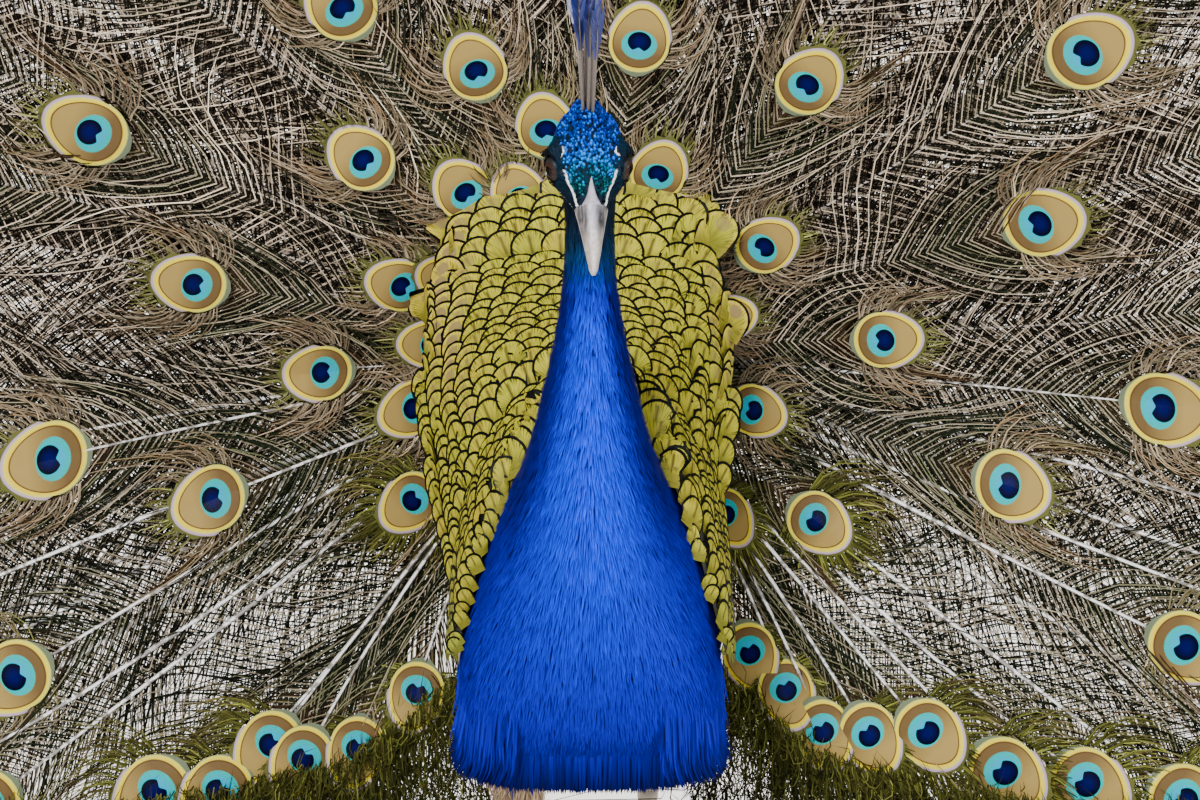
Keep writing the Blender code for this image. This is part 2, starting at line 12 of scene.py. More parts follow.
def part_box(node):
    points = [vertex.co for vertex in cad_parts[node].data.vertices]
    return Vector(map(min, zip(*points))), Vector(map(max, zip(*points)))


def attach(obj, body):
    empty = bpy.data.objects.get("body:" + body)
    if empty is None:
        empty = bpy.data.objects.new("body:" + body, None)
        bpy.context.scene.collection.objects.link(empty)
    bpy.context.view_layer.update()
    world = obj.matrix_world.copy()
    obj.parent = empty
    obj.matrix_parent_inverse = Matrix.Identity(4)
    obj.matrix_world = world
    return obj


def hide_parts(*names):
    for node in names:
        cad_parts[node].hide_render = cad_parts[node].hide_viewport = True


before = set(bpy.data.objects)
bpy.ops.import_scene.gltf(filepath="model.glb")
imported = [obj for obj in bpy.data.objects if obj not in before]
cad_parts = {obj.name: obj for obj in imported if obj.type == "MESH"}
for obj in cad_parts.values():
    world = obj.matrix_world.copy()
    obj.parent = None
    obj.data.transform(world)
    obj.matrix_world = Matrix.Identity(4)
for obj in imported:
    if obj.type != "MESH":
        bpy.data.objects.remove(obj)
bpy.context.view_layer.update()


# The camera stands before the bird and above it, looking down on its breast and the middle of its
# train. It is a short telephoto at the distance of a person who crouches to see the bird.
head_low, head_high = (Vector(corner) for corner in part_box("head"))
crown_y = (head_low.y + head_high.y) / 2
camera_back, camera_above, camera_down = 1.27, 0.363, 22
camera_data = bpy.data.cameras.new("camera")
camera_data.lens = 84
camera_data.sensor_width = 36
camera = bpy.data.objects.new("camera", camera_data)
bpy.context.scene.collection.objects.link(camera)
camera.location = (0.005, crown_y - camera_back, head_high.z + camera_above)
camera.rotation_euler = (math.radians(90 - camera_down), 0, 0)
bpy.context.scene.camera = camera


# The floor is a pale matt sheet, as in a studio. A broad soft light hangs over the camera, with weaker
# ones at the side and behind, and the pale room fills the shadows.
def math_method(operation, turned=False):
    """A method of Value that adds one Math node, its other value first when it is turned."""
    def method(self, *other):
        return self.made(operation, *((*other, self) if turned else (self, *other)))
    return method


class Value:
    """A number socket that adds its Math node when an expression uses it."""

    def __init__(self, shader, socket):
        self.shader, self.socket = shader, socket

    def made(self, operation, *values, clamp=False):
        settings = {"operation": operation, "use_clamp": clamp}
        return Value(self.shader, self.shader.node("Math", settings, dict(enumerate(values))).outputs[0])

    __add__ = __radd__ = math_method("ADD")
    __mul__ = __rmul__ = math_method("MULTIPLY")
    __sub__, __rsub__ = math_method("SUBTRACT"), math_method("SUBTRACT", turned=True)
    __truediv__, __pow__ = math_method("DIVIDE"), math_method("POWER")
    __abs__, sine = math_method("ABSOLUTE"), math_method("SINE")

    def clamp(self):
        return self.made("ADD", self, 0.0, clamp=True)

    def above(self, edge, softness=0.02):
        """0 below the edge and 1 above it, with a soft step between."""
        return self.made("ADD", (self - edge) / softness, 0.5, clamp=True)


class Shader:
    """The node tree of one material. node() adds any node: its settings first, then its sockets."""

    def __init__(self, name, roughness=0.5, shine=0.5, plumage=False, **constants):
        self.material = bpy.data.materials.new(name)
        self.material.use_nodes = True
        self.tree = self.material.node_tree
        self.surface = self.tree.nodes["Principled BSDF"]
        self.set("Roughness", roughness)
        self.set("Specular IOR Level", shine)
        for socket, value in constants.items():
            self.set(socket.replace("_", " ").title(), value)
        if plumage:
            self.set("Base Color", self.plumage())

    def node(self, kind, settings=None, sockets=None):
        made = self.tree.nodes.new("ShaderNode" + kind)
        for setting, value in (settings or {}).items():
            setattr(made, setting, value)
        for socket, value in (sockets or {}).items():
            self.put(made.inputs[socket], value)
        return made

    def put(self, socket, value):
        value = value.socket if isinstance(value, Value) else value
        if isinstance(value, bpy.types.NodeSocket):
            self.tree.links.new(value, socket)
        else:
            is_colour = isinstance(value, tuple) and len(value) == 3 and socket.type == "RGBA"
            socket.default_value = (*value, 1) if is_colour else value

    def set(self, socket, value):
        self.put(self.surface.inputs[socket], value)

    def mix(self, mask, first, second):
        """A colour that goes from first to second as the mask goes from 0 to 1."""
        return self.node("Mix", {"data_type": "RGBA"}, {0: mask, 6: first, 7: second}).outputs[2]

    def layers(self, colour, *masked):
        """A colour with others over it, each given as its mask and its colour."""
        for mask, tint in masked:
            colour = self.mix(mask, colour, tint)
        return colour

    def plumage(self):
        """The colour that is stored on the mesh."""
        return self.node("Attribute", {"attribute_name": "Plumage"}).outputs["Color"]

    def parts(self, vector):
        """The three numbers of a vector socket."""
        return [Value(self, part) for part in self.node("SeparateXYZ", None, {0: vector}).outputs]

    def uv(self, name):
        return self.node("UVMap", {"uv_map": name}).outputs[0]

    def noise(self, scale, detail=2.0, vector=None, stretch=(1, 1, 1)):
        """Noise on the object's own coordinates in metres, or on a given vector."""
        vector = vector or self.node("TexCoord").outputs["Object"]
        place = self.node("Mapping", None, {0: vector, 3: stretch}).outputs[0]
        made = self.node("TexNoise", None, {"Vector": place, "Scale": scale, "Detail": detail})
        return Value(self, made.outputs["Fac"])

    def bump(self, height, strength, distance):
        made = self.node("Bump", None, {"Height": height, "Strength": strength, "Distance": distance})
        self.set("Normal", made.outputs[0])


floor_shader = Shader("pale_floor")
floor_shader.set("Base Color", (0.72, 0.71, 0.69))
floor_shader.set("Roughness", floor_shader.noise(3.0) * 0.1 + 0.85)
bpy.ops.mesh.primitive_plane_add(size=14, location=(0, 0, 0))
floor = bpy.context.object
floor.name = "floor"
floor.data.materials.append(floor_shader.material)

bird_middle, backdrop_aim = (0, 0, 0.5), (0, 2.2, 0.2)
for name, place, aim, size, power, warmth in (
    ("key", (-0.9, -2.2, 2.9), bird_middle, 1.0, 185, (1.0, 0.98, 0.95)),
    ("fill", (2.4, -1.4, 1.4), bird_middle, 1.8, 64, (0.95, 0.97, 1.0)),
    ("rim", (0.4, 2.2, 2.4), bird_middle, 1.6, 60, (1.0, 0.99, 0.97)),
    ("backdrop", (0.0, 1.6, 3.4), backdrop_aim, 2.4, 360, (1.0, 0.97, 0.94)),
):
    light_data = bpy.data.lights.new(name, "AREA")
    light_data.size, light_data.energy, light_data.color = size, power, warmth
    light = bpy.data.objects.new(name, light_data)
    light.location = place
    light.rotation_euler = (Vector(aim) - Vector(place)).to_track_quat("-Z", "Y").to_euler()
    bpy.context.scene.collection.objects.link(light)
room = bpy.data.worlds.new("pale_room")
room.use_nodes = True
room.node_tree.nodes["Background"].inputs["Color"].default_value = (0.93, 0.95, 1.0, 1)
room.node_tree.nodes["Background"].inputs["Strength"].default_value = 0.60
bpy.context.scene.world = room


# The bird's skin, under its feathers: one closed surface over head, neck, trunk, thighs and the root
# of the tail. It is soft flesh and the whole coat stands on it. Where the plumage is blue the skin is
# painted that blue at a third of its brightness: painted shade in the gaps between the feathers.
def alone(thing):
    """Makes one object the active and only selected one."""
    bpy.ops.object.select_all(action="DESELECT")
    thing.select_set(True)
    bpy.context.view_layer.objects.active = thing


def edit_all(thing, operator, **settings):
    """Runs one edit-mode operator on the whole of an object."""
    alone(thing)
    bpy.ops.object.mode_set(mode="EDIT")
    bpy.ops.mesh.select_all(action="SELECT")
    operator(**settings)
    bpy.ops.object.mode_set(mode="OBJECT")


def joined_copy(name, nodes):
    """One new object from copies of CAD nodes, their loose triangles merged."""
    copies = [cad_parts[node].copy() for node in nodes]
    for copy in copies:
        copy.data = copy.data.copy()
        bpy.context.scene.collection.objects.link(copy)
    alone(copies[0])
    for copy in copies:
        copy.select_set(True)
    if len(copies) > 1:
        bpy.ops.object.join()
    made = bpy.context.object
    made.name = made.data.name = name
    made.data.materials.clear()
    edit_all(made, bpy.ops.mesh.remove_doubles, threshold=0.00002)
    return made


def modify(thing, kind, **settings):
    """Adds one modifier to an object and applies it."""
    modifier = thing.modifiers.new(kind.lower(), kind)
    for setting, value in settings.items():
        setattr(modifier, setting, value)
    alone(thing)
    bpy.ops.object.modifier_apply(modifier=modifier.name)


def dress(piece, shader, slot, *nodes, smooth=False):
    """Gives a piece its material, its body and the solids that it stands for; the slot is not used."""
    piece.data.materials.append(shader.material)
    if smooth:
        alone(piece)
        bpy.ops.object.shade_smooth()
    if nodes:
        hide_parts(*nodes)
    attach(piece, "root")


def corners(thing):
    """An object's vertices and their normals, as arrays."""
    places = np.empty(len(thing.data.vertices) * 3)
    normals = np.empty_like(places)
    thing.data.vertices.foreach_get("co", places)
    thing.data.vertices.foreach_get("normal", normals)
    return places.reshape(-1, 3), normals.reshape(-1, 3)


def move_corners(thing, places):
    thing.data.vertices.foreach_set("co", places.ravel())
    thing.data.update()


def surface_of(thing):
    """A search tree of an object's faces, to find the nearest spot on them."""
    tree_mesh = bmesh.new()
    tree_mesh.from_mesh(thing.data)
    tree = BVHTree.FromBMesh(tree_mesh)
    tree_mesh.free()
    return tree


def nearest(tree, places):
    """The nearest spot on a surface to each place, and the surface's normal there."""
    found = [tree.find_nearest(Vector(place))[:2] for place in places]
    return np.array([tuple(f[0]) for f in found]), np.array([tuple(f[1]) for f in found])


def rise(value, low, high):
    """0 below low and 1 above high, with a smooth rise between."""
    t = np.clip((value - low) / (high - low), 0, 1)
    return t * t * (3 - 2 * t)


def hump(value, middle, width):
    """1 at the middle, falling smoothly to either side."""
    return np.exp(-(((value - middle) / width) ** 2))


def blend(first, second, share):
    """Goes from first to second as the share goes from 0 to 1."""
    return first + (np.asarray(second) - first) * share


def node_middle(node):
    low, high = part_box(node)
    return (Vector(low) + Vector(high)) / 2


# The head's own frame: x to the bird's left, y back from the bill and z out of the crown, from a
# middle between the eyes. The head is bowed and turned a little to the bird's left.
head_bow, head_aside = 40, 4
head_middle = np.array((node_middle("eye_left") + node_middle("eye_right")) / 2)
head_turn = np.array(Euler((math.radians(head_bow), 0, math.radians(head_aside))).to_matrix())


def in_head(places):
    return (places - head_middle) @ head_turn


def from_head(spots):
    return np.asarray(spots) @ head_turn.T + head_middle


flesh = ["neck_upper", "neck_lower", "breast", "belly", "rump", "train_root"]
flesh += ["thigh_left", "thigh_right", "head"]
outline = joined_copy("outline", flesh)
outline_surface = surface_of(outline)
skin = joined_copy("skin", flesh)
modify(skin, "REMESH", mode="VOXEL", voxel_size=0.0028)
modify(skin, "SMOOTH", factor=0.5, iterations=5)
for rounds in range(2):
    places, _ = corners(skin)
    spots = in_head(places)
    finer = (spots[:, 1] < 0.05) & (spots[:, 2] > -0.045) & (places[:, 2] > 0.56)
    alone(skin)
    bpy.ops.object.mode_set(mode="EDIT")
    bpy.ops.mesh.select_mode(type="FACE")
    bpy.ops.mesh.select_all(action="DESELECT")
    bpy.ops.object.mode_set(mode="OBJECT")
    for face in skin.data.polygons:
        face.select = all(finer[corner] for corner in face.vertices)
    bpy.ops.object.mode_set(mode="EDIT")
    bpy.ops.mesh.subdivide(number_cuts=1, smoothness=0)
    bpy.ops.object.mode_set(mode="OBJECT")
places, _ = corners(skin)
spots = in_head(places)
near_head = rise(-spots[:, 1], -0.040, -0.028) * rise(spots[:, 2], -0.034, -0.022)
at_head = near_head > 0
snapped, _ = nearest(outline_surface, places[at_head])
places[at_head] += (snapped - places[at_head]) * near_head[at_head, None]
move_corners(skin, places)
head_group = skin.vertex_groups.new(name="head")
head_group.add([int(i) for i in np.flatnonzero(at_head)], 1.0, "REPLACE")
modify(skin, "SMOOTH", factor=0.5, iterations=6, vertex_group="head")
skin.vertex_groups.clear()
bpy.data.objects.remove(outline)

neck_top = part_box("neck_upper")[1][2]
breast_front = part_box("breast")[0][1]


def coat_depth(place):
    """How deep the feathers stand on the skin: thin on the face and upper neck, deep on the breast."""
    spot = in_head(place)
    depth = 0.0012 + 0.0034 * rise(neck_top - place[:, 2], 0.02, 0.20)
    depth = depth * (0.15 + 0.85 * rise(place[:, 2], 0.165, 0.240))
    face = rise(-spot[:, 1], -0.034, -0.02) * rise(place[:, 2], 0.57, 0.59)
    return depth * (1 - face) + 0.0006 * face


def face_relief(spot, sign):
    """How far the face stands out by one eye: the lids are a raised ring round it, under a brow that
    overhangs it, with a hollow in front of it and a fullness in the cheek behind and below."""
    forward, up = -spot[:, 1], spot[:, 2]
    away = np.hypot(forward, up)
    lid = 0.0012 * hump(away, 0.0074, 0.0016)
    socket = -0.0045 * (1 - rise(away, 0.0045, 0.0068))
    brow = 0.0014 * hump(up - 0.1 * forward, 0.0085, 0.0024)
    brow = brow * rise(forward, -0.014, -0.004) * (1 - rise(forward, 0.010, 0.018))
    lores = -0.0010 * hump(forward, 0.013, 0.004) * hump(up, -0.001, 0.004)
    cheek = 0.0008 * hump(forward, -0.001, 0.012) * hump(up, -0.0115, 0.004)
    return (lid + socket + brow + lores + cheek) * (spot[:, 0] * sign > 0.006)


places, normals = corners(skin)
spots = in_head(places)
aside, back, up = np.abs(spots[:, 0]), spots[:, 1], spots[:, 2]
relief = face_relief(spots, 1) + face_relief(spots, -1)
relief -= 0.0048 * rise(up, 0.004, 0.016) * rise(-back, -0.034, -0.022) * rise(aside, 0.004, 0.011)
behind_eyes = rise(back, 0.006, 0.018) * (1 - rise(back, 0.032, 0.044))
relief -= 0.0028 * behind_eyes * rise(up, -0.010, 0.0) * rise(aside, 0.004, 0.010)
move_corners(skin, places + normals * (relief - coat_depth(places))[:, None])
bare_surface = surface_of(skin)


def painted(base, layers):
    """A base colour for each place, with layers of a tint and its mask over it."""
    colour = np.tile(base, (len(layers[0][1]), 1))
    for tint, mask in layers:
        colour = blend(colour, tint, mask[:, None])
    return colour


def body_colour(place, normal):
    """The plumage's colour by place on the trunk and neck, before each feather varies it. It holds painted
    light:
    a painted highlight down the front of the neck, a touch lighter wherever it faces ahead, and painted
    shade on the sides of the neck, under the bill and under the breast.
    """
    x, y, z = place.T
    azure, navy, teal = (0.0001, 0.040, 0.90), (0.0003, 0.0012, 0.07), (0.001, 0.10, 0.20)
    black, buff, grey = (0.003, 0.006, 0.014), (0.42, 0.29, 0.17), (0.20, 0.165, 0.13)
    below, behind = neck_top - z, y - breast_front
    ahead = -normal[:, 1]
    painted_highlight = hump(x, 0, 0.010 + 0.06 * rise(below, 0.02, 0.30)) * rise(ahead, 0.0, 0.8)
    painted_highlight = painted_highlight * rise(below, 0.05, 0.10) * (1 - 0.93 * rise(below, 0.16, 0.32))
    return painted((0.0003, 0.0003, 0.31), (
        # A painted highlight down the front of the neck, and a touch lighter wherever the plumage faces
        # ahead.
        (azure, 0.85 * painted_highlight),
        (azure, 0.02 * rise(ahead, 0.3, 0.9)),
        # Painted shade: navy on the sides of the neck, which turn away from the light.
        (navy, 0.7 * rise(np.abs(normal[:, 0]), 0.75, 1.0) * rise(z, 0.36, 0.44)),
        (teal, 0.7 * rise(below, -0.01, 0.03) * (1 - rise(below, 0.052, 0.080))),
        # Painted shade: black at the top of the neck, under the bill and head.
        (black, 0.94 * (1 - rise(below, 0.040, 0.084))),
        (navy, 0.72 * (1 - rise(z, 0.262, 0.322))),
        # Painted shade: navy where the breast faces down.
        (navy, 0.85 * rise(-normal[:, 2], 0.25, 0.75) * (1 - rise(z, 0.32, 0.36))),
        (teal, 0.7 * rise(behind, 0.09, 0.13) * rise(z, 0.28, 0.32)),
        (black, rise(behind, 0.12, 0.17) * (1 - rise(z, 0.42, 0.46))),
        (grey, rise(behind, 0.30, 0.335)),
        (buff, 1 - rise(z, 0.236, 0.246)),
    ))


# The head's markings, in its own frame: each white band runs through spots given as forward, up and
# half width, on both sides, and the rest goes from bright blue crown to blackish face and throat.
brow_band = ((0.0245, -0.0045, 0.0006), (0.0205, -0.0030, 0.0008), (0.0165, -0.0008, 0.0009),
             (0.0125, 0.0016, 0.0008), (0.0098, 0.0040, 0.0007), (0.0074, 0.0060, 0.0006),
             (0.0052, 0.0074, 0.0004))
brow_end = ((-0.0006, 0.0087, 0.0004), (-0.0030, 0.0089, 0.0006), (-0.0056, 0.0088, 0.0004))
cheek_band = ((0.0170, -0.0092, 0.0010), (0.0120, -0.0094, 0.0018), (0.0060, -0.0108, 0.0026),
              (0.0000, -0.0112, 0.0030), (-0.0060, -0.0096, 0.0028), (-0.0105, -0.0050, 0.0026),
              (-0.0126, 0.0008, 0.0018), (-0.0122, 0.0044, 0.0008))
band_softness, band_side = 0.0003, 0.006


def band_mask(spot, band, wider=0.0):
    """1 on a band that runs over the skin through the given spots, and 0 off it."""
    rows = np.array(band)
    fine = np.linspace(0, len(rows) - 1, 12 * len(rows))
    forward, up, half = (np.interp(fine, np.arange(len(rows)), rows[:, i]) for i in range(3))
    mask = np.zeros(len(spot))
    for sign in (1, -1):
        toward = Vector(head_turn @ np.array((-sign, 0.0, 0.0)))
        for f, u, w in zip(forward, up, half + wider):
            hit = bare_surface.ray_cast(Vector(from_head((sign * 0.05, -f, u))), toward)[0]
            if hit is not None:
                away = np.linalg.norm(spot - in_head(np.array(tuple(hit))), axis=1)
                mask = np.maximum(mask, 1 - rise(away, w - band_softness, w + band_softness))
    return mask * (np.abs(spot[:, 0]) > band_side)


def head_colour(spot):
    """The colour of the head's skin at spots in its own frame."""
    forward, up = -spot[:, 1], spot[:, 2]
    return painted((0.003, 0.008, 0.020), (
        ((0.001, 0.014, 0.030), rise(up, -0.012, 0.002) * (1 - rise(forward, 0.012, 0.02))),
        ((0.001, 0.004, 0.014), rise(up, 0.006, 0.012) * (1 - rise(forward, 0.004, 0.014))),
        ((0.001, 0.050, 0.30), rise(-forward, 0.018, 0.026)),
        ((0.93, 0.94, 0.95), band_mask(spot, brow_band)),
        ((0.85, 0.87, 0.90), band_mask(spot, brow_end)),
        ((0.88, 0.90, 0.92), band_mask(spot, cheek_band)),
        ((0.004, 0.004, 0.005), 1 - rise(np.hypot(forward, up), 0.0078, 0.0086)),
    ))


def colour_corners(thing, colours, name="Plumage"):
    """Stores one colour on each vertex, for the material to read."""
    layer = thing.data.color_attributes.new(name, "FLOAT_COLOR", "POINT")
    layer.data.foreach_set("color", np.column_stack([colours, np.ones(len(colours))]).ravel())


places, normals = corners(skin)
spots = in_head(places)
on_head = rise(-spots[:, 1], -0.036, -0.026) * rise(spots[:, 2], -0.026, -0.018)
# The skin takes the plumage's colour at 0.3, painted shade between the feathers; the head takes its own skin
# colour.
colour_corners(skin, blend(body_colour(places, normals) * 0.3, head_colour(spots), on_head[:, None]))
skin_shader = Shader("skin_under_feathers", roughness=0.6, shine=0.1, plumage=True)
skin_shader.bump(skin_shader.noise(1100.0, 3.0), 0.5, 0.0006)
dress(skin, skin_shader, "blue_plumage", *flesh, smooth=True)


# The small plumage of neck and breast: soft feathers that lie like tiles, each a tuft of fine barbs
# rooted in the skin, pointing down the neck and back along the trunk.
bake_patch = 0.003


def joined_mesh(name, points, faces, colours=None, maps=None):
    """One object of many like pieces. points is pieces x corners x 3, faces the corners of each face
    of one piece, and maps gives UV maps by name, each as pieces x corners x 2."""
    pieces, size = points.shape[:2]
    loops = np.concatenate([np.array(face) for face in faces])
    starts = np.cumsum([0] + [len(face) for face in faces[:-1]])
    number = np.arange(pieces)[:, None]
    corner = (loops[None] + number * size).ravel()
    mesh = bpy.data.meshes.new(name)
    mesh.vertices.add(pieces * size)
    mesh.vertices.foreach_set("co", points.ravel().astype(np.float32))
    mesh.loops.add(pieces * len(loops))
    mesh.loops.foreach_set("vertex_index", corner.astype(np.int32))
    mesh.polygons.add(pieces * len(faces))
    mesh.polygons.foreach_set("loop_start", (starts[None] + number * len(loops)).ravel().astype(np.int32))
    mesh.update(calc_edges=True)
    mesh.validate()
    mesh.polygons.foreach_set("use_smooth", np.ones(len(mesh.polygons), bool))
    for map_name, spots in (maps or {}).items():
        layer = mesh.uv_layers.new(name=map_name)
        layer.data.foreach_set("uv", spots.reshape(-1, 2)[corner].astype(np.float32).ravel())
    made = bpy.data.objects.new(name, mesh)
    bpy.context.scene.collection.objects.link(made)
    if colours is not None:
        colour_corners(made, colours.reshape(-1, 3))
    return made


def grid_faces(rows, columns, first=0):
    """The faces of a grid of corners, row by row."""
    return [(a, a + 1, a + columns + 1, a + columns)
            for i in range(rows - 1) for a in range(first + i * columns, first + (i + 1) * columns - 1)]


def ring_faces(rings, around, first=0, inward=False):
    """The faces between closed rings of corners, one ring after another."""
    faces = []
    for start in range(first, first + (rings - 1) * around, around):
        for i in range(around):
            a, b = start + i, start + (i + 1) % around
            faces.append((a, a + around, b + around, b) if inward else (a, b, b + around, a + around))
    return faces


def unit(vectors):
    return vectors / np.maximum(np.linalg.norm(vectors, axis=-1, keepdims=True), 1e-9)


def flattened(directions, normals):
    """Directions turned to lie in the surface with the given normals."""
    return unit(directions - normals * (directions * normals).sum(-1, keepdims=True))


def blades(name, lines, sides, colours, roots):
    """Flat tapering barbs as one object. lines is barbs x steps x 3, sides the half width at each
    step but the last, and roots the spot of each barb's patch on the bake map."""
    count, steps = lines.shape[:2]
    edges = np.stack([lines[:, :-1] - sides, lines[:, :-1] + sides], axis=2)
    points = np.concatenate([edges.reshape(count, -1, 3), lines[:, -1:]], axis=1)
    faces = [(2 * i, 2 * i + 1, 2 * i + 3, 2 * i + 2) for i in range(steps - 2)]
    faces.append((2 * steps - 4, 2 * steps - 3, 2 * steps - 2))
    shades = np.concatenate([np.repeat(colours[:, :-1], 2, axis=1), colours[:, -1:]], axis=1)
    patch = [(side, i / (steps - 1)) for i in range(steps - 1) for side in (0, 1)] + [(0.5, 1)]
    return joined_mesh(name, points, faces, shades, {"OFBake": roots[:, None] + bake_patch * np.array(patch)})


def skin_roots(spot, axis_back=0.02, widest=0.98, highest=0.8):
    """Where roots lie on the skin's unwrap, which is rolled out round an upright axis."""
    turn = np.arctan2(spot[:, 0], spot[:, 1] - axis_back) / (2 * math.pi) + 0.5
    return np.column_stack([turn * widest, spot[:, 2] / highest])


def scatter(thing, spacing, rng, wanted=None):
    """Spots spread evenly over an object, about spacing apart, with the normals there."""
    thing.data.calc_loop_triangles()
    triangles = np.empty(len(thing.data.loop_triangles) * 3, np.int32)
    thing.data.loop_triangles.foreach_get("vertices", triangles)
    triangles = triangles.reshape(-1, 3)
    places, normals = corners(thing)
    if wanted is not None:
        triangles = triangles[wanted(places)[triangles].all(axis=1)]
    a, b, c = (places[triangles[:, i]] for i in range(3))
    area = np.linalg.norm(np.cross(b - a, c - a), axis=1) / 2
    count = int(area.sum() / spacing**2 * 6)
    pick = rng.choice(len(triangles), count, p=area / area.sum())
    u, v = rng.random((2, count, 1))
    over = (u + v) > 1
    u, v = np.where(over, 1 - u, u), np.where(over, 1 - v, v)
    spot = a[pick] + (b - a)[pick] * u + (c - a)[pick] * v
    na, nb, nc = (normals[triangles[pick, i]] for i in range(3))
    normal = unit(na * (1 - u - v) + nb * u + nc * v)
    _, first = np.unique(np.floor(spot / spacing * 0.87).astype(int), axis=0, return_index=True)
    return spot[first], normal[first]


skin_surface = surface_of(skin)


def tufts(name, spot, normal, lie, tint, rng, shader, slot="blue_plumage", length=0.003, width=0.0006,
          lift=0.0008, barbs=7, spread=0.3, contrast=0.25, root=0.5, steps=4, pieces=1):
    """Tufts of barbs, each tuft laid along the skin from one root. lift is how far tips stand out,
    spread how wide a tuft opens, and root how dark it is at its foot: painted shade where the tufts overlap."""
    count = len(spot)
    length, width, lift = (np.broadcast_to(each, count)[:, None, None, None]
                           for each in (length, width, lift))
    line, up, way = [spot], [normal], [flattened(lie, normal)]
    for _ in range(1, steps):
        found, found_up = nearest(skin_surface, line[-1] + way[-1] * (length[:, 0, 0] / (steps - 1)))
        line.append(found)
        up.append(found_up)
        way.append(flattened(way[-1], found_up))
    line, up, way = (np.stack(each, axis=1) for each in (line, up, way))
    across = np.cross(up, way)
    t = np.linspace(0, 1, steps)[:, None]
    fan = np.linspace(-1, 1, barbs) + rng.uniform(-0.3, 0.3, (count, barbs))
    reach = rng.uniform(0.75, 1.2, (count, barbs))[:, :, None, None]
    start = line[:, None] + across[:, None] * (fan[:, :, None, None] * length * spread) * (0.70 + 0.30 * t)
    start = start + way[:, None] * (reach - 1) * length * t
    start = start + way[:, None] * (rng.uniform(-0.25, 0.25, (count, barbs))[:, :, None, None] * length)
    height = lift * (0.15 + 0.85 * t**0.8) * rng.uniform(0.75, 1.1, (count, barbs))[:, :, None, None]
    lines = (start + up[:, None] * height).reshape(-1, steps, 3)
    sides = across[:, None, :-1] * (width * (1 - 0.55 * t[:-1] ** 2) / 2)
    sides = np.broadcast_to(sides, (count, barbs, steps - 1, 3)).reshape(-1, steps - 1, 3)
    shade = rng.normal(0, contrast, (count, barbs)) + rng.normal(0, contrast * 0.4, (count, 1))
    # Each barb is painted darker at its foot than at its tip, painted shade under the tufts that lie over it;
    # its tone also differs at random.
    shade = np.exp(shade)[:, :, None, None] * (root + (1.1 - root) * t)
    colours = np.clip(tint[:, None, None] * shade, 0, 1).reshape(-1, steps, 3)
    roots = np.repeat(skin_roots(spot), barbs, axis=0)
    for index, part in enumerate(np.array_split(np.arange(len(lines)), pieces)):
        piece_name = f"{name}_{index + 1}" if pieces > 1 else name
        dress(blades(piece_name, lines[part], sides[part], colours[part], roots[part]), shader, slot)


def off_head(places):
    """True off the face and crown, which have their own small feathers."""
    spots = in_head(places)
    return ~((spots[:, 1] < 0.030) & (spots[:, 2] > -0.020) & (places[:, 2] > 0.57))


rng = np.random.default_rng(204)
spot, normal = scatter(skin, 0.0037, rng, off_head)
behind = spot[:, 1] - breast_front
off_neck = 1 - rise(spot[:, 2], 0.36, 0.44)
outward = np.sign(spot[:, 0]) * np.minimum(np.abs(spot[:, 0]) / 0.05, 1)
lie = np.column_stack([outward * 0.34, -0.1 + 1.5 * rise(behind, 0.05, 0.16) * off_neck,
                       0.4 * rise(behind, 0.08, 0.2) * off_neck - 1])
lie[:, 1] += 2.5 * rise(-normal[:, 2], 0.35, 0.85)
lie = lie + rng.normal(0, 0.035, lie.shape)
size = 0.0070 + 0.0055 * rise(neck_top - spot[:, 2], 0.03, 0.25)
blue_shader = Shader("blue_barbs", shine=0.05, plumage=True)
on_front = (behind < 0.27) & (spot[:, 2] >= 0.246)
spot, normal, lie, size = (each[on_front] for each in (spot, normal, lie, size))
tufts("neck_and_breast_feathers", spot, normal, lie, body_colour(spot, normal), rng, blue_shader, pieces=2,
      length=size, width=0.00095, lift=coat_depth(spot) * 0.70, spread=0.32, contrast=0.14)


# The head's plumage: glossy bead-like feathers over the crown and nape, and a velvet of the smallest
# dark feathers over face and throat. The white bands and the rims of the eyes are bare skin.
def crown_mask(spot):
    """1 on the crown and nape, between the brows, and 0 on the face, in the head's frame."""
    edge = np.interp(-spot[:, 1], (-0.040, -0.024, -0.012, -0.003, 0.0052, 0.0074, 0.0125, 0.0165, 0.022),
                     (-0.012, -0.006, 0.0076, 0.0090, 0.0083, 0.0066, 0.0022, -0.0002, -0.0030))
    return rise(spot[:, 2], edge - 0.0006, edge + 0.0006)


def wedge_half(share):
    """Half width of the horn wedge on the forehead, from its tip at 0 to the bill at 1."""
    return 0.0030 * share**0.9 + 0.0043 * share**6


def bare_mask(spot, wider=0.0):
    """1 on the white bands and the rims of the eyes, where no feathers grow."""
    bands = np.max([band_mask(spot, band, wider) for band in (brow_band, brow_end, cheek_band)], axis=0)
    return np.maximum(bands, 1 - rise(np.hypot(spot[:, 1], spot[:, 2]), 0.0066, 0.0072))


rng = np.random.default_rng(31)
spot, normal = scatter(skin, 0.0017, rng, lambda p: (in_head(p)[:, 1] < 0.033) & (p[:, 2] > 0.565))
local = in_head(spot)
nape_way = head_turn @ np.array((0, 1, -0.25))
down = np.array((0, 0.1, -1.0))
lie = blend(nape_way, down, rise(-local[:, 2], 0.006, 0.020)[:, None]) + rng.normal(0, 0.12, spot.shape)
throat = rise(-local[:, 2], 0.012, 0.022)[:, None]
ends = in_head(spot + flattened(lie, normal) * 0.0024)
on_face = (crown_mask(local) < 0.5) & (bare_mask(local) < 0.05) & (bare_mask(ends) < 0.5)
on_face &= local[:, 2] > -0.03
spot, normal, local, lie, throat = (each[on_face] for each in (spot, normal, local, lie, throat))
tint = blend(head_colour(local), (0.001, 0.007, 0.018), throat) + 0.001
face_shader = Shader("face_velvet", roughness=0.6, shine=0.05, plumage=True)
tufts("face_feathers", spot, normal, lie, tint, rng, face_shader, barbs=5, steps=3)

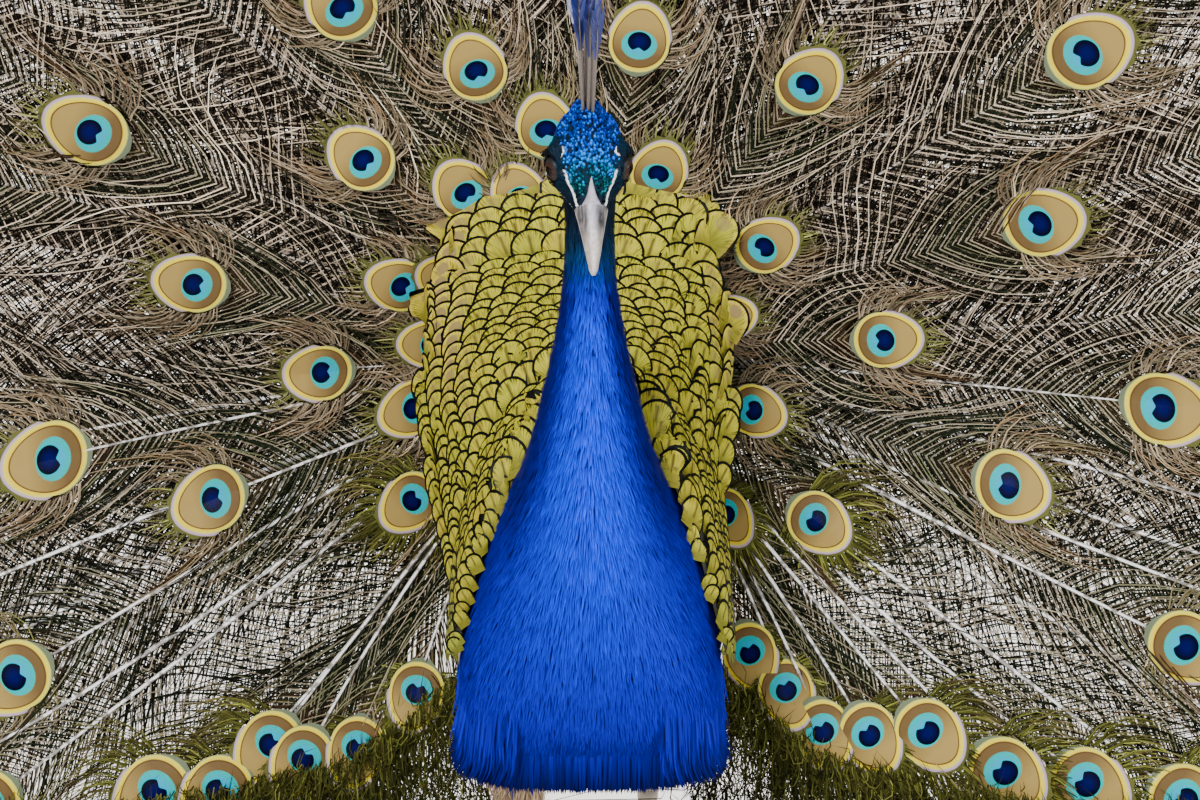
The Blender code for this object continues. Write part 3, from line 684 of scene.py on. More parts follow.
spot, normal = scatter(skin, 0.00122, rng, lambda p: (in_head(p)[:, 1] < 0.042) & (p[:, 2] > 0.565))
local = in_head(spot)
on_crown = (crown_mask(local) > 0.5) & (bare_mask(local, 0.0004) < 0.5)
wedge_share = np.clip((-local[:, 1] - 0.0108) / 0.0094, 0, 1)
wedge = (wedge_share > 0) & (np.abs(local[:, 0]) < 0.0005 + wedge_half(wedge_share))
on_crown &= ~wedge & (rng.random(len(spot)) > 0.20)
spot, normal, forward = spot[on_crown], normal[on_crown], -local[on_crown, 1]
count = len(spot)
bead = np.interp(forward, (-0.040, -0.026, -0.008, 0.006, 0.014, 0.021),
                 (0.0016, 0.0013, 0.0012, 0.0014, 0.0011, 0.0008)) * rng.uniform(0.65, 1.25, count)
bead = bead[:, None, None]
way = flattened(nape_way + rng.normal(0, 0.25, (count, 3)), normal)
across = np.cross(normal, way)
bead_sides = 7
turns = [2 * math.pi * (i + 0.5) / bead_sides for i in range(bead_sides)]
dome = np.array([(0.0, 0.0, 1.0)] + [(radius * math.cos(turn), radius * math.sin(turn), height)
                                     for radius, height in ((0.62, 0.72), (1.0, -0.15)) for turn in turns])
faces = [(0, 1 + i, 1 + (i + 1) % bead_sides) for i in range(bead_sides)]
faces += ring_faces(2, bead_sides, first=1, inward=True)
points = (spot[:, None] + normal[:, None] * (0.0003 + dome[:, 2:] * bead * 0.42 + dome[:, 1:2] * bead * 0.22)
          + across[:, None] * dome[:, :1] * bead * 0.62 + way[:, None] * dome[:, 1:2] * bead * 0.85)
tint = np.stack([np.interp(forward, (-0.034, -0.012, 0.0, 0.007, 0.0125, 0.018), level) for level in (
    (0.001, 0.001, 0.001, 0.002, 0.002, 0.002), (0.030, 0.055, 0.11, 0.20, 0.13, 0.018),
    (0.34, 0.55, 0.72, 0.42, 0.15, 0.022))], axis=1)
tint = np.minimum(tint * np.exp(rng.normal(-0.48, 0.90, (count, 1))), (0.001, 0.17, 0.64))
# Each bead is painted light on its top and its free end and near black round its foot: painted light and
# shade.
shade = 0.04 + 1.15 * np.clip(dome[:, 2:] * 0.7 + dome[:, 1:2] * 0.35 + 0.3, 0, 1) ** 1.5
patch = bake_patch * (dome[:, :2] * 0.5 + 0.5)
crown = joined_mesh("crown_beads", points, faces, tint[:, None] * shade,
                    {"OFBake": skin_roots(spot, axis_back=-0.13)[:, None] + patch})
crown_shader = Shader("crown_gloss", roughness=0.30, shine=0.03, plumage=True)
crown_shader.bump(crown_shader.noise(2500.0), 0.2, 0.0001)
dress(crown, crown_shader, "blue_plumage")


# The eyes: wet balls with a dark red-brown iris and a round black pupil, set under the brow inside
# their lids and looking out sideways and a little ahead.
def turn_outward(thing):
    """Turns the normals of a closed or open shell to its outside."""
    edit_all(thing, bpy.ops.mesh.normals_make_consistent, inside=False)


lid_shader = Shader("eyelid_skin", roughness=0.55, shine=0.3, plumage=True)
lid_shader.bump(lid_shader.noise(1800.0, 3.0), 0.5, 0.0003)
lid_around = 40
lid_tints = ((0.016, 0.012, 0.012), (0.018, 0.014, 0.014), (0.008, 0.008, 0.010), (0.005, 0.006, 0.009),
             (0.006, 0.008, 0.012), (0.005, 0.007, 0.012), (0.004, 0.006, 0.012))
for side, sign in (("left", 1), ("right", -1)):
    middle = np.array(node_middle(f"eye_{side}"))
    eye_low, eye_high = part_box(f"eye_{side}")
    radius = (Vector(eye_high) - Vector(eye_low)).z / 2 * 0.985
    bpy.ops.object.select_all(action="DESELECT")
    bpy.ops.mesh.primitive_uv_sphere_add(segments=40, ring_count=24, radius=radius)
    ball = bpy.context.object
    ball.name = ball.data.name = f"eyeball_{side}"
    gaze = head_turn @ unit(np.array((sign * 1.0, -0.60, 0.24)))
    spots, _ = corners(ball)
    height = spots[:, 2] / radius
    iris = np.array((0.026, 0.009, 0.006)) * (1 + 0.6 * rise(height, 0.72, 0.90))[:, None]
    tint = blend(np.array((0.010, 0.006, 0.005)), iris, rise(height, 0.66, 0.72)[:, None])
    tint = blend(tint, (0.002, 0.002, 0.002), rise(height, 0.905, 0.925)[:, None])
    bulge = 1 + 0.035 * rise(height, 0.62, 0.95)
    turned = (spots * bulge[:, None]) @ np.array(Vector(gaze).to_track_quat("Z", "Y").to_matrix()).T
    move_corners(ball, turned + middle)
    colour_corners(ball, tint)
    eye_shader = Shader(f"eye_{side}", roughness=0.06, shine=0.10, plumage=True, coat_weight=0.05,
                        coat_roughness=0.02)
    eye_shader.set("Roughness", eye_shader.noise(900.0) * 0.05 + 0.05)
    dress(ball, eye_shader, "eye", f"eye_{side}", smooth=True)
    outward = head_turn @ unit(np.array((sign * 1.0, -0.46, 0.18)))
    forward_way = unit(np.cross(head_turn[:, 2], outward) * sign)
    upward = unit(np.cross(outward, forward_way) * sign)
    rings = []
    for beyond, stand in ((-4, 0.99), (0, 1.035), (5, 1.085), (13, 1.10), (26, 1.075), (42, 1.00),
                          (58, 0.86)):
        for i in range(lid_around):
            turn = 2 * math.pi * i / lid_around
            polar = math.radians(40 + 7 * abs(math.cos(turn)) ** 1.5 + beyond)
            spread_out = forward_way * math.cos(turn) + upward * math.sin(turn)
            rings.append(middle + radius * stand * (outward * math.cos(polar) + spread_out * math.sin(polar)))
    lid = joined_mesh(f"eyelids_{side}", np.array(rings)[None], ring_faces(len(lid_tints), lid_around),
                      np.repeat(lid_tints, lid_around, axis=0))
    turn_outward(lid)
    modify(lid, "SOLIDIFY", thickness=0.0003, offset=-1.0)
    dress(lid, lid_shader, "blue_plumage")


# The bill: a stout down-curved horn sheath. Its ridge runs back as a wedge on to the forehead, the
# nostrils open low in its sides near the base, and the upper half hooks over the tip of the lower.
bill_shape = np.array((  # forward, middle up, above, below, half width, in millimetres
    (20.0, -6.9, 7.6, 5.9, 8.0), (22.0, -7.2, 7.2, 5.6, 7.6), (26.9, -7.8, 6.8, 4.8, 6.6),
    (33.5, -8.8, 6.0, 3.8, 5.2), (40.6, -10.7, 4.8, 2.5, 3.8), (45.5, -12.7, 3.5, 1.4, 2.7),
    (48.8, -14.7, 2.2, 0.4, 1.7), (50.0, -15.4, 1.1, 0.1, 0.8),
))
bill_root, bill_tip, bill_around, bill_steps = 20.0, 50.0, 40, 56


def bill_station(forward):
    """The bill's measures at one place, on a smooth curve through its shape."""
    slopes = np.gradient(bill_shape[:, 1:], bill_shape[:, 0], axis=0)
    i = min(max(np.searchsorted(bill_shape[:, 0], forward) - 1, 0), len(bill_shape) - 2)
    width = bill_shape[i + 1, 0] - bill_shape[i, 0]
    t = (forward - bill_shape[i, 0]) / width
    a, b = bill_shape[i, 1:], bill_shape[i + 1, 1:]
    return ((2 * t**3 - 3 * t**2 + 1) * a + (t**3 - 2 * t**2 + t) * width * slopes[i]
            + (3 * t**2 - 2 * t**3) * b + (t**3 - t**2) * width * slopes[i + 1])


def sheath(name, steps, section):
    """One half of the bill: rings along it, whose points and colours the section gives."""
    rings, tints = [], []
    for forward in np.linspace(bill_root, bill_tip, bill_steps)[:steps]:
        station = bill_station(forward)
        for j in range(bill_around):
            turn = 2 * math.pi * j / bill_around
            across, up, tint = section(forward, *station, math.sin(turn), math.cos(turn))
            rings.append((across, -forward, up))
            tints.append(tint)
    last = (steps - 1) * bill_around
    faces = ring_faces(steps, bill_around)
    faces += [tuple(range(bill_around))[::-1], tuple(range(last, last + bill_around))]
    made = joined_mesh(name, from_head(np.array(rings) * 0.001)[None], faces)
    turn_outward(made)
    colour_corners(made, np.array(tints))
    return made


def upper_section(forward, mouth, above, below, half_width, side, climb):
    """The upper half has a rounded ridge, and a hollow and a flap of horn for each nostril."""
    along = (forward - 20) / 30.0
    if climb > 0:
        across = math.copysign(abs(side) ** 0.9, side) * half_width * (1 - 0.16 * climb**2 * (1 - along))
        up = mouth + above * climb**0.92 + 0.25 * math.exp(-((side / 0.24) ** 2)) * (1 - along) ** 0.5
        hollow, flap = (math.exp(-(((abs(side) - place) / wide) ** 2) - ((forward - at) / long) ** 2)
                        for place, wide, at, long in ((0.70, 0.17, 26.5, 2.8), (0.52, 0.13, 26.8, 3.2)))
        across -= math.copysign(1.1, side) * hollow
        across += math.copysign(0.35, side) * flap
        ridge = math.exp(-((side / (0.24 + 0.16 * along)) ** 2))
    else:
        across, up = side * half_width * 0.93, mouth - 0.5 - 0.12 * abs(climb)
        hollow = flap = ridge = 0.0
    tip = rise(forward, 28, 42)
    grey = blend(np.array((0.060, 0.055, 0.062)), (0.40, 0.34, 0.30), tip)
    light = blend(np.array((0.44, 0.42, 0.49)), (0.66, 0.60, 0.56), tip)
    tint = blend(blend(grey, light, ridge), (0.70, 0.66, 0.58), math.exp(-((climb - 0.10) / 0.12) ** 2) * 0.8)
    # The hollow and the flap of each nostril are painted darker: painted shade in the nostril.
    return across, up, tint * (1 - 0.75 * hollow) * (1 - 0.25 * flap)


def lower_section(forward, mouth, above, below, half_width, side, climb):
    """The lower half is a plain trough that ends under the hook of the upper."""
    up = mouth - 0.75 + (0.1 if climb > 0 else climb * max(below - 0.5, 0.3))
    along = (forward - 20) / 27.0
    return side * half_width * 0.86, up, blend(np.array((0.30, 0.28, 0.29)), (0.62, 0.57, 0.49), along)


upper_bill = sheath("upper_bill", bill_steps, upper_section)
lower_bill = sheath("lower_bill", int(bill_steps * 0.90), lower_section)

# The wedge of horn that runs from the bill's ridge up on to the forehead: a grid of points dropped on
# to the skin, raised along its middle, and run into the top of the bill.
wedge_rows, wedge_columns = 15, 9
aside = np.arange(wedge_columns) / 4 - 1
share = 1 - np.arange(wedge_rows)[:, None] / (wedge_rows - 1)
x, ahead = aside * (wedge_half(share) + 0.00015), 0.0108 + 0.0112 * share + 0 * aside
starts = from_head(np.stack([x, -ahead, np.full_like(x, 0.02)], axis=-1).reshape(-1, 3))
downward = Vector(-head_turn[:, 2])
hits = [skin_surface.ray_cast(Vector(start), downward)[0] for start in starts]
tops = in_head(np.array([tuple(hit) if hit else tuple(start) for hit, start in zip(hits, starts)]))
tops = tops.reshape(wedge_rows, wedge_columns, 3)
section = np.sqrt(np.clip(1 - (x / 0.0079) ** 2, 0, 1)) ** 0.92
bill_top = np.interp(ahead, (0.020, 0.022), (-0.0069, -0.0072)) + section * np.interp(
    ahead, (0.020, 0.022), (0.0077, 0.0073))
sunk, near_bill = rise(ahead, 0.0198, 0.0219), rise(ahead, 0.0165, 0.0196)
lifted = tops[:, :, 2] + (0.0002 + 0.0009 * (1 - aside**2))
joined = np.maximum(bill_top + 0.00035 * (1 - sunk), tops[:, :, 2] + 0.0002 - 0.002 * sunk) - 0.0007 * sunk
tops[:, :, 2] = lifted * (1 - near_bill) + joined * near_bill
under = tops - np.array((0, 0, 0.0020))
layer = wedge_rows * wedge_columns
faces = []
for a, b, c, d in grid_faces(wedge_rows, wedge_columns):
    faces += [(a, b, c, d), (a + layer, d + layer, c + layer, b + layer)]
rim = [i * 9 for i in range(14, 0, -1)] + list(range(9)) + [i * 9 + 8 for i in range(1, 15)]
rim += [14 * 9 + j for j in range(7, 0, -1)]
faces += [(a, b, b + layer, a + layer) for a, b in zip(rim, rim[1:] + rim[:1])]
bill_wedge = joined_mesh("bill_wedge", from_head(np.stack([tops, under])).reshape(1, -1, 3), faces)
turn_outward(bill_wedge)
shade = 1 - 0.55 * np.tile(np.abs(aside) ** 2, 2 * wedge_rows)[:, None]
colour_corners(bill_wedge, np.array((0.42, 0.40, 0.47)) * shade)
bill_shader = Shader("bill_horn", roughness=0.40, shine=0.25, coat_weight=0.06, coat_roughness=0.2)
mottle = bill_shader.noise(420.0, 4.0).above(0.52, 0.25)
streak = bill_shader.noise(300.0, 3.0, stretch=(3.0, 0.6, 0.6))
horn = bill_shader.mix(mottle * 0.42, bill_shader.plumage(), (0.11, 0.10, 0.11))
bill_shader.set("Base Color", bill_shader.mix(streak.above(0.55, 0.2) * 0.18, horn, (0.74, 0.70, 0.66)))
bill_shader.set("Roughness", streak * 0.25 + 0.22)
bill_shader.bump(streak + mottle * 0.4, 0.35, 0.0002)
dress(upper_bill, bill_shader, "horn", "bill_upper")
dress(lower_bill, bill_shader, "horn", "bill_lower")
dress(bill_wedge, bill_shader, "horn")


# The crest: two dozen stiff wiry shafts in a fan on the back of the crown, bare and brown-grey, each
# with a small paddle of deep blue barbs at its end.
rng = np.random.default_rng(24)
shafts, shaft_steps = 24, 7
fanned = np.linspace(-1, 1, shafts)
lean = np.radians(np.linspace(-85, -23, shafts)) + rng.normal(0, 0.012, shafts)
offset = 0.0042 * np.array((-1, 0.1, 1))[np.arange(shafts) % 3] * rng.uniform(0.5, 1.0, shafts)
height = (0.060 * rng.uniform(0.93, 1.0, shafts) - 0.005 * np.abs(fanned) ** 2)[:, None]
t = np.linspace(0, 1, shaft_steps)[None, :]
bow = 0.0022 * np.sin(math.pi * t) * fanned[:, None]
forward = -0.024 + 0.0060 * fanned[:, None] + np.sin(lean)[:, None] * height * t + bow
up = 0.010 + np.cos(lean)[:, None] * height * t
sideways = offset[:, None] * (0.55 + 0.65 * t) + rng.normal(0, 0.0003, (shafts, 1))
spine = np.stack([sideways, -forward, up], axis=2)
half = (0.00075 - 0.00035 * t[:, :-1])[:, :, None]
sides = np.broadcast_to(head_turn[:, 0] * half, (shafts, shaft_steps - 1, 3))
tint = np.array((0.105, 0.085, 0.070)) * rng.uniform(0.65, 1.35, (shafts, 1, 1))
tint = tint * np.ones((1, shaft_steps, 1))
roots = np.column_stack([np.linspace(0.02, 0.98, shafts), np.full(shafts, 0.96)])
crest_shafts = blades("crest_shafts", from_head(spine), sides, tint, roots)
modify(crest_shafts, "SOLIDIFY", thickness=0.0006, offset=0.0)
shaft_shader = Shader("crest_quill", roughness=0.45)
grain = shaft_shader.noise(1500.0, 2.0)
shaft_shader.set("Base Color", shaft_shader.mix(grain, shaft_shader.plumage(), (0.16, 0.13, 0.11)))
shaft_shader.bump(grain, 0.2, 0.0002)
dress(crest_shafts, shaft_shader, "crest_plumage", "crest")

barb_steps, barb_rows = 4, 15
u = np.linspace(0, 1, barb_steps)[:, None]
lines, sides, tints, roots = [], [], [], []
for number, (shaft, bent) in enumerate(zip(spine, lean)):
    tip_way = np.array((0, -math.sin(bent), math.cos(bent)))
    for part in np.linspace(0.68, 0.995, barb_rows):
        base = np.array([np.interp(part, t[0], column) for column in shaft.T])
        for side in (-1, 1):
            swell = 0.0056 * (0.35 + 0.65 * rise(part, 0.68, 0.85)) * rng.uniform(0.8, 1.1)
            reach = 0.0085 * (0.6 + 0.4 * part) * rng.uniform(0.85, 1.1)
            outward = side * np.array((0.62, 0.78 * math.cos(bent), 0.3 * math.sin(bent)))
            line = base + outward * swell * np.sin(u * 1.4) + tip_way * reach * u**1.2
            lines.append(from_head(line))
            width = unit(np.cross(line[1] - line[0], (0.25, -1.0, 0.6)))
            sides.append((width * 0.00052) @ head_turn.T * np.array([[1.0], [1.0], [0.8]]))
            tints.append(np.array((0.002, 0.013, 0.17)) * rng.uniform(0.5, 1.25) * (0.5 + 0.7 * u))
            roots.append((0.02 + 0.96 * number / shafts, 0.97 + 0.02 * part))
crest_paddles = blades("crest_paddles", *(np.array(each) for each in (lines, sides, tints, roots)))
crest_shader = Shader("crest_blue", roughness=0.35, plumage=True, sheen_weight=0.2)
dress(crest_paddles, crest_shader, "crest_plumage")


# The saddle: stiff rounded feathers like scales over the back, yellow-green with a black rim and a
# brown streak. Each overlaps the one behind it, and they grow larger towards the foot of the train.
saddle_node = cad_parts["back_saddle"]
saddle_surface = surface_of(saddle_node)
saddle_low, saddle_high = (np.array(corner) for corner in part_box("back_saddle"))
scale_reach, scale_side = 0.37, 0.80


def outer_side(places, normals):
    """True on the side of the saddle that is seen, away from the back."""
    return normals[:, 0] * places[:, 0] * 9 - 0.45 * normals[:, 1] + normals[:, 2] > 0.12


def saddle_share(places):
    """Height on the saddle, from 0 at its foot to 1 at its top."""
    return (places[:, 2] - saddle_low[2]) / (saddle_high[2] - saddle_low[2])


def scale_width(places, normals):
    """Width of a scale by its height on the saddle, smaller where it faces the breast."""
    share = saddle_share(places)
    width = np.interp(share, (0.0, 0.25, 0.5, 0.75, 1.0), (0.0115, 0.0145, 0.0185, 0.0222, 0.0245))
    return width * (1.06 - 0.42 * rise(-normals[:, 1], 0.62, 0.92) * (1 - rise(share, 0.30, 0.60)))


def scale_lie(places, normals):
    """Which way the scales point: back, up and a little outwards."""
    return flattened(np.column_stack([places[:, 0] * 7.0, np.full((len(places), 2), (0.75, 0.50))]), normals)


rng = np.random.default_rng(77)
spot, normal = scatter(joined_copy("saddle_copy", ["back_saddle"]), 0.0022, rng)
bpy.data.objects.remove(bpy.data.objects["saddle_copy"])
seen = outer_side(spot, normal)
spot, normal = spot[seen], normal[seen]
order = np.argsort(spot @ np.array((0, 0.6, 1.0)) - np.abs(spot[:, 0]) * 0.35)
spot, normal = spot[order], normal[order]
way, wide = scale_lie(spot, normal), scale_width(spot, normal)
kept = []
for index in range(len(spot)):
    gap = spot[kept] - spot[index]
    along = (gap * way[index]).sum(axis=1) / (scale_reach * wide[index])
    aside = np.linalg.norm(np.cross(gap, way[index]), axis=1) / (scale_side * wide[index])
    if not len(kept) or (along**2 + aside**2).min() > 0.66:
        kept.append(index)
spot, normal = spot[kept], normal[kept]
for _ in range(40):
    way, wide = scale_lie(spot, normal), scale_width(spot, normal)
    aside_way = np.cross(normal, way)
    gap = spot[None] - spot[:, None]
    along = (gap * way[:, None]).sum(axis=2) / (scale_reach * wide[:, None])
    aside = (gap * aside_way[:, None]).sum(axis=2) / (scale_side * wide[:, None])
    away = np.sqrt(along**2 + aside**2) + 1e-6
    push = np.clip(1.25 - away, 0, 1) * (away > 1e-4)
    step = -(push / away)[..., None] * (along[..., None] * way[:, None] * scale_reach
                                        + aside[..., None] * aside_way[:, None] * scale_side)
    found, up = nearest(saddle_surface, spot + 0.22 * step.sum(axis=1) * wide[:, None])
    good = outer_side(found, up)
    spot[good], normal[good] = found[good], up[good]
flat_on = ((np.abs(normal[:, 0]) < 0.90) | (saddle_share(spot) < 0.62)) & (normal[:, 1] < 0.15)
spot, normal = spot[flat_on], normal[flat_on]

# One rounded feather, as a grid over its length: across in half widths, along in lengths, and height.
feather_rows = (0.0, 0.30, 0.52, 0.72, 0.87, 0.96, 1.0)
feather_columns = np.linspace(-1, 1, 7)
feather_shape = []
for v in feather_rows:
    half = 0.80 + 0.20 * min(v / 0.5, 1) if v < 0.52 else math.sqrt(max(1 - ((v - 0.52) / 0.48) ** 2, 0.0))
    feather_shape += [(c * half, v, 0.012 * (1 - (c * half) ** 2) + 0.15 * v) for c in feather_columns]
feather_shape = np.array(feather_shape)
feather_flat = np.column_stack([0.5 + 0.5 * feather_shape[:, 0], feather_shape[:, 1]])
shape_corners = len(feather_shape)
shape_faces = grid_faces(len(feather_rows), len(feather_columns))


def cell_map(count, flat, margin=0.04):
    """A bake map with one square cell for each of many flat feathers."""
    across = math.ceil(math.sqrt(count))
    cell = np.column_stack([np.arange(count) % across, np.arange(count) // across]) / across
    return cell[:, None] + (margin + (1 - 2 * margin) * flat) / across


count = len(spot)
way = flattened(scale_lie(spot, normal) + rng.normal(0, 0.05, spot.shape), normal)
wide = scale_width(spot, normal) * rng.uniform(0.96, 1.10, count)
across = np.cross(way, normal)
points = (spot[:, None] - way[:, None] * (0.35 * wide)[:, None, None]
          + across[:, None] * feather_shape[:, :1] * (wide / 2)[:, None, None]
          + way[:, None] * feather_shape[:, 1:2] * (1.16 * wide)[:, None, None])
laid, up = nearest(saddle_surface, points.reshape(-1, 3))
own_up = np.repeat(normal, shape_corners, axis=0)
inside = (up * own_up).sum(axis=1, keepdims=True) > 0.2
laid = np.where(inside, laid, points.reshape(-1, 3)).reshape(points.shape)
up = np.where(inside, up, own_up).reshape(points.shape)
past = points - laid
past = past - up * (past * up).sum(axis=2, keepdims=True) * 0.75
stand = wide * (1 - 0.75 * rise(-normal[:, 1], 0.25, 0.75))
points = laid + past + up * (feather_shape[:, 2:] * stand[:, None, None] + 0.0003)
share = saddle_share(spot)
outer = rise(np.abs(spot[:, 0]) / saddle_high[0], 0.72, 0.98) * rise(share, 0.35, 0.6)
eyed = np.clip(np.maximum(rise(share, 0.78, 0.97), outer) + rng.normal(0, 0.10, count), 0, 1)
tint = np.array((0.295, 0.300, 0.021)) * np.exp(rng.normal(0, 0.10, (count, 1)))
gold_share = np.clip(rng.normal(0.18, 0.16, count) + 0.25 * eyed, 0, 0.8)
tint = blend(tint, (0.36, 0.27, 0.022), gold_share[:, None])
tint = blend(tint, (0.16, 0.27, 0.05), (0.55 * (1 - rise(share, 0.02, 0.22)) * rng.random(count))[:, None])
spread = np.repeat(tint[:, None], shape_corners, axis=1)
scales = joined_mesh("saddle_scales", points, shape_faces, spread,
                     {"OFBake": cell_map(count, feather_flat), "Scale": np.tile(feather_flat, (count, 1, 1))})
rim_share = 1 - np.minimum(0.0033 / wide, 0.24)
kind = np.column_stack([eyed, rng.random(count), rim_share])
colour_corners(scales, np.repeat(kind, shape_corners, axis=0), "Kind")
scale_shader = Shader("scale_feather", shine=0.05)
u, v, _ = scale_shader.parts(scale_shader.uv("Scale"))
kinds = scale_shader.node("Attribute", {"attribute_name": "Kind"}).outputs["Color"]
eyed_here, own, rim_from = scale_shader.parts(kinds)
side, ahead = (u - 0.5) * 2.0, (v - 0.52) / 0.48
outward = (side * side + ahead.clamp() * ahead.clamp()) ** 0.5
ray = side.made("ARCTAN2", side, v - 0.12)
rays = scale_shader.node("CombineXYZ", None, {0: ray * 11.0 + own * 40.0, 1: outward * 1.1, 2: own * 9.0})
strands = scale_shader.noise(1.7, 3.0, rays.outputs[0])
patch = ((side * 1.6) ** 2.0 + ((v - 0.70) * 3.2) * ((v - 0.70) * 3.2)) ** 0.5
rim = (outward - rim_from).above(0.0, 0.03)
streak = (1 - abs(side).above(0.080, 0.12)) * v.above(0.36, 0.10) * (1 - v.above(0.85, 0.08))
scale_shader.set("Base Color", scale_shader.layers(
    scale_shader.plumage(),
    (strands.above(0.50, 0.28) * 0.38, (0.54, 0.46, 0.05)),
    ((1 - strands.above(0.45, 0.06)) * (outward.above(0.60, 0.5) * 0.70 + 0.20), (0.020, 0.018, 0.004)),
    (streak * (1 - eyed_here) * 0.90, (0.060, 0.045, 0.014)),
    ((1 - patch.above(0.56, 0.12)) * eyed_here * 0.9, (0.21, 0.145, 0.070)),
    (outward.above(0.70, 0.10) * eyed_here * 0.5, (0.62, 0.46, 0.07)),
    # Darker towards the foot of each scale, where the next scale lies over it: painted shade.
    ((1 - v.above(0.46, 0.34)) * 0.6, (0.04, 0.04, 0.010)),
    (rim, (0.003, 0.0035, 0.003)),
))
scale_shader.set("Roughness", strands * 0.2 + 0.32)
scale_shader.bump(strands - rim * 0.6, 0.35, 0.0004)
dress(scales, scale_shader, "scale_plumage")
# A near-black sheet under the scales, seen only in the gaps between them: painted shade.
under_shader = Shader("shade_under_scales", roughness=0.8)
under_shader.set("Base Color", under_shader.mix(under_shader.noise(400.0), (0.006, 0.007, 0.004),
                                                (0.022, 0.024, 0.010)))
saddle_node.data.materials.clear()
saddle_node.data.materials.append(under_shader.material)


# The train: some two hundred long covert feathers, raised in a dish behind the bird. Each has a pale
# quill and loose wiry barbs that cross their neighbours', and most end in an eye-spot.
train_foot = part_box("train_root")[0]
fan_root = np.array((0.0, train_foot[1] + 0.0025, train_foot[2] + 0.073))
train_reach, inner_reach = 1.15, 0.42
front = np.array((0.0, -1.0, 0.0))


def fan_place(across, up, forward):
    """The dish of the train: a place across and up from its root, some way in front of its middle."""
    reach = np.hypot(across, up) + 1e-6
    side, low = (across / reach) ** 2, np.clip(-up / reach, 0, 1)
    lean = (0.10 + 0.07 * side) * reach + (0.10 - 0.04 * side) * reach**2
    sweep = 0.21 * low * (reach / 0.2) ** 2 / (1 + (reach / 0.2) ** 2)
    sag = 0.06 * side * reach**2
    lowest = np.clip((low - 0.70) / 0.27, 0, 1)
    bow = 0.047 * lowest * np.abs(np.sin(math.pi * np.minimum(reach / 0.32, 1))) ** 0.8
    return np.stack([across + np.sign(across) * bow, fan_root[1] - lean - sweep - forward,
                     fan_root[2] + up - sag], axis=-1)


def turned(along, aside, angle):
    """Across and up in the fan of places along and aside of a feather at an angle."""
    return along * np.cos(angle) - aside * np.sin(angle), along * np.sin(angle) + aside * np.cos(angle)


def laid_on(place_at, across, up, *more):
    """Lines of places on a sheet, with the way out of the sheet and the way across each line in it."""
    lines, stride = place_at(across, up, *more), 0.002
    facing = unit(np.cross(place_at(across + stride, up, *more) - lines,
                           place_at(across, up + stride, *more) - lines))
    return lines, facing, unit(np.cross(unit(np.gradient(lines, axis=1)), facing))


def train_roots(places, widest=2.4, highest=1.6):
    """Where places on the train lie on its bake map, which is the train seen from the front."""
    return np.stack([places[..., 0] / widest + 0.5, places[..., 2] / highest], axis=-1)


# Feathers near the middle, as distance from the root to the eye-spot's middle in millimetres and
# angle in degrees anticlockwise from the bird's left. The rest stand in rings further out, and a
# denser row runs along the train's lower edge on each side.
middle_feathers = (
    (321, 150.7), (184, 135.1), (192, 109.8), (260, 122.1), (130, 124.3), (237, 165.0), (123, 155.4),
    (159, 179.6), (109, 192.1), (315, 186.0), (229, 195.5), (129, 214.1), (362, 203.6), (181, 250.6),
    (264, 225.9), (253, 231.7), (225, 240.6), (302, 224.6), (328, 219.9), (147, 100.2), (199, 82.1),
    (124, 71.7), (213, 55.0), (340, 36.5), (274, 21.5), (126, 36.6), (86, 19.8), (173, 7.3),
    (100, -14.3), (330, -0.7), (248, -12.1), (155, -31.1), (110, -49.1), (365, -20.6), (160, -72.2),
    (186, -65.1), (217, -59.7), (240, -51.1), (267, -43.2), (312, -40.1), (351, -35.6), (100, 148.0),
    (97, 172.0), (112, 112.0), (92, 50.0),
)
outer_rings = ((0.395, 9), (0.445, 14), (0.51, 15), (0.585, 16), (0.67, 17), (0.76, 19), (0.86, 20),
               (0.965, 22), (1.06, 23), (1.125, 25))
edge_feathers = ((0.400, -31.5), (0.446, -28.0), (0.50, -24.8), (0.565, -21.8), (0.65, -18.8),
                 (0.755, -16.0), (0.88, -13.6), (1.00, -11.9))
rng = np.random.default_rng(5)
feathers = [(reach / 1000, math.radians(angle), 1) for reach, angle in middle_feathers]
for ring, (reach, number) in enumerate(outer_rings):
    fall = math.asin(min(0.150 / reach, 1))
    for i in (0, 1, 3, 4, 5, 6, 7, 8) if ring == 0 else range(number):
        share = (i + 0.25 + 0.5 * (ring % 2)) / number
        angle = -fall + share * (math.pi + 2 * fall) + rng.uniform(-0.012, 0.012)
        feathers.append((reach * rng.uniform(0.985, 1.01), angle, 0 if reach > 1.1 else 1))
for on_left in (False, True):
    for reach, angle in edge_feathers:
        angle = math.radians(angle) if on_left else math.pi - math.radians(angle)
        feathers.append((reach * rng.uniform(0.98, 1.02), angle + rng.uniform(-0.01, 0.01), 1))
feather_reach, feather_angle, feather_eyed = np.array(feathers).T
feather_scale = np.interp(feather_reach, (0.08, 0.10, 0.13, 0.24, 0.32), (0.62, 0.72, 0.80, 0.88, 1.0))
feather_ahead = 0.034 * (1 - feather_reach / train_reach)
eye_length = 0.047 * feather_scale
fall = -np.sin(feather_angle)
low_feather = np.clip(fall * 2.2, 0, 1)
bright = (np.clip(0.35 + fall * 2.6, 0, 1) * (rng.random(len(feathers)) < 0.75))[:, None]

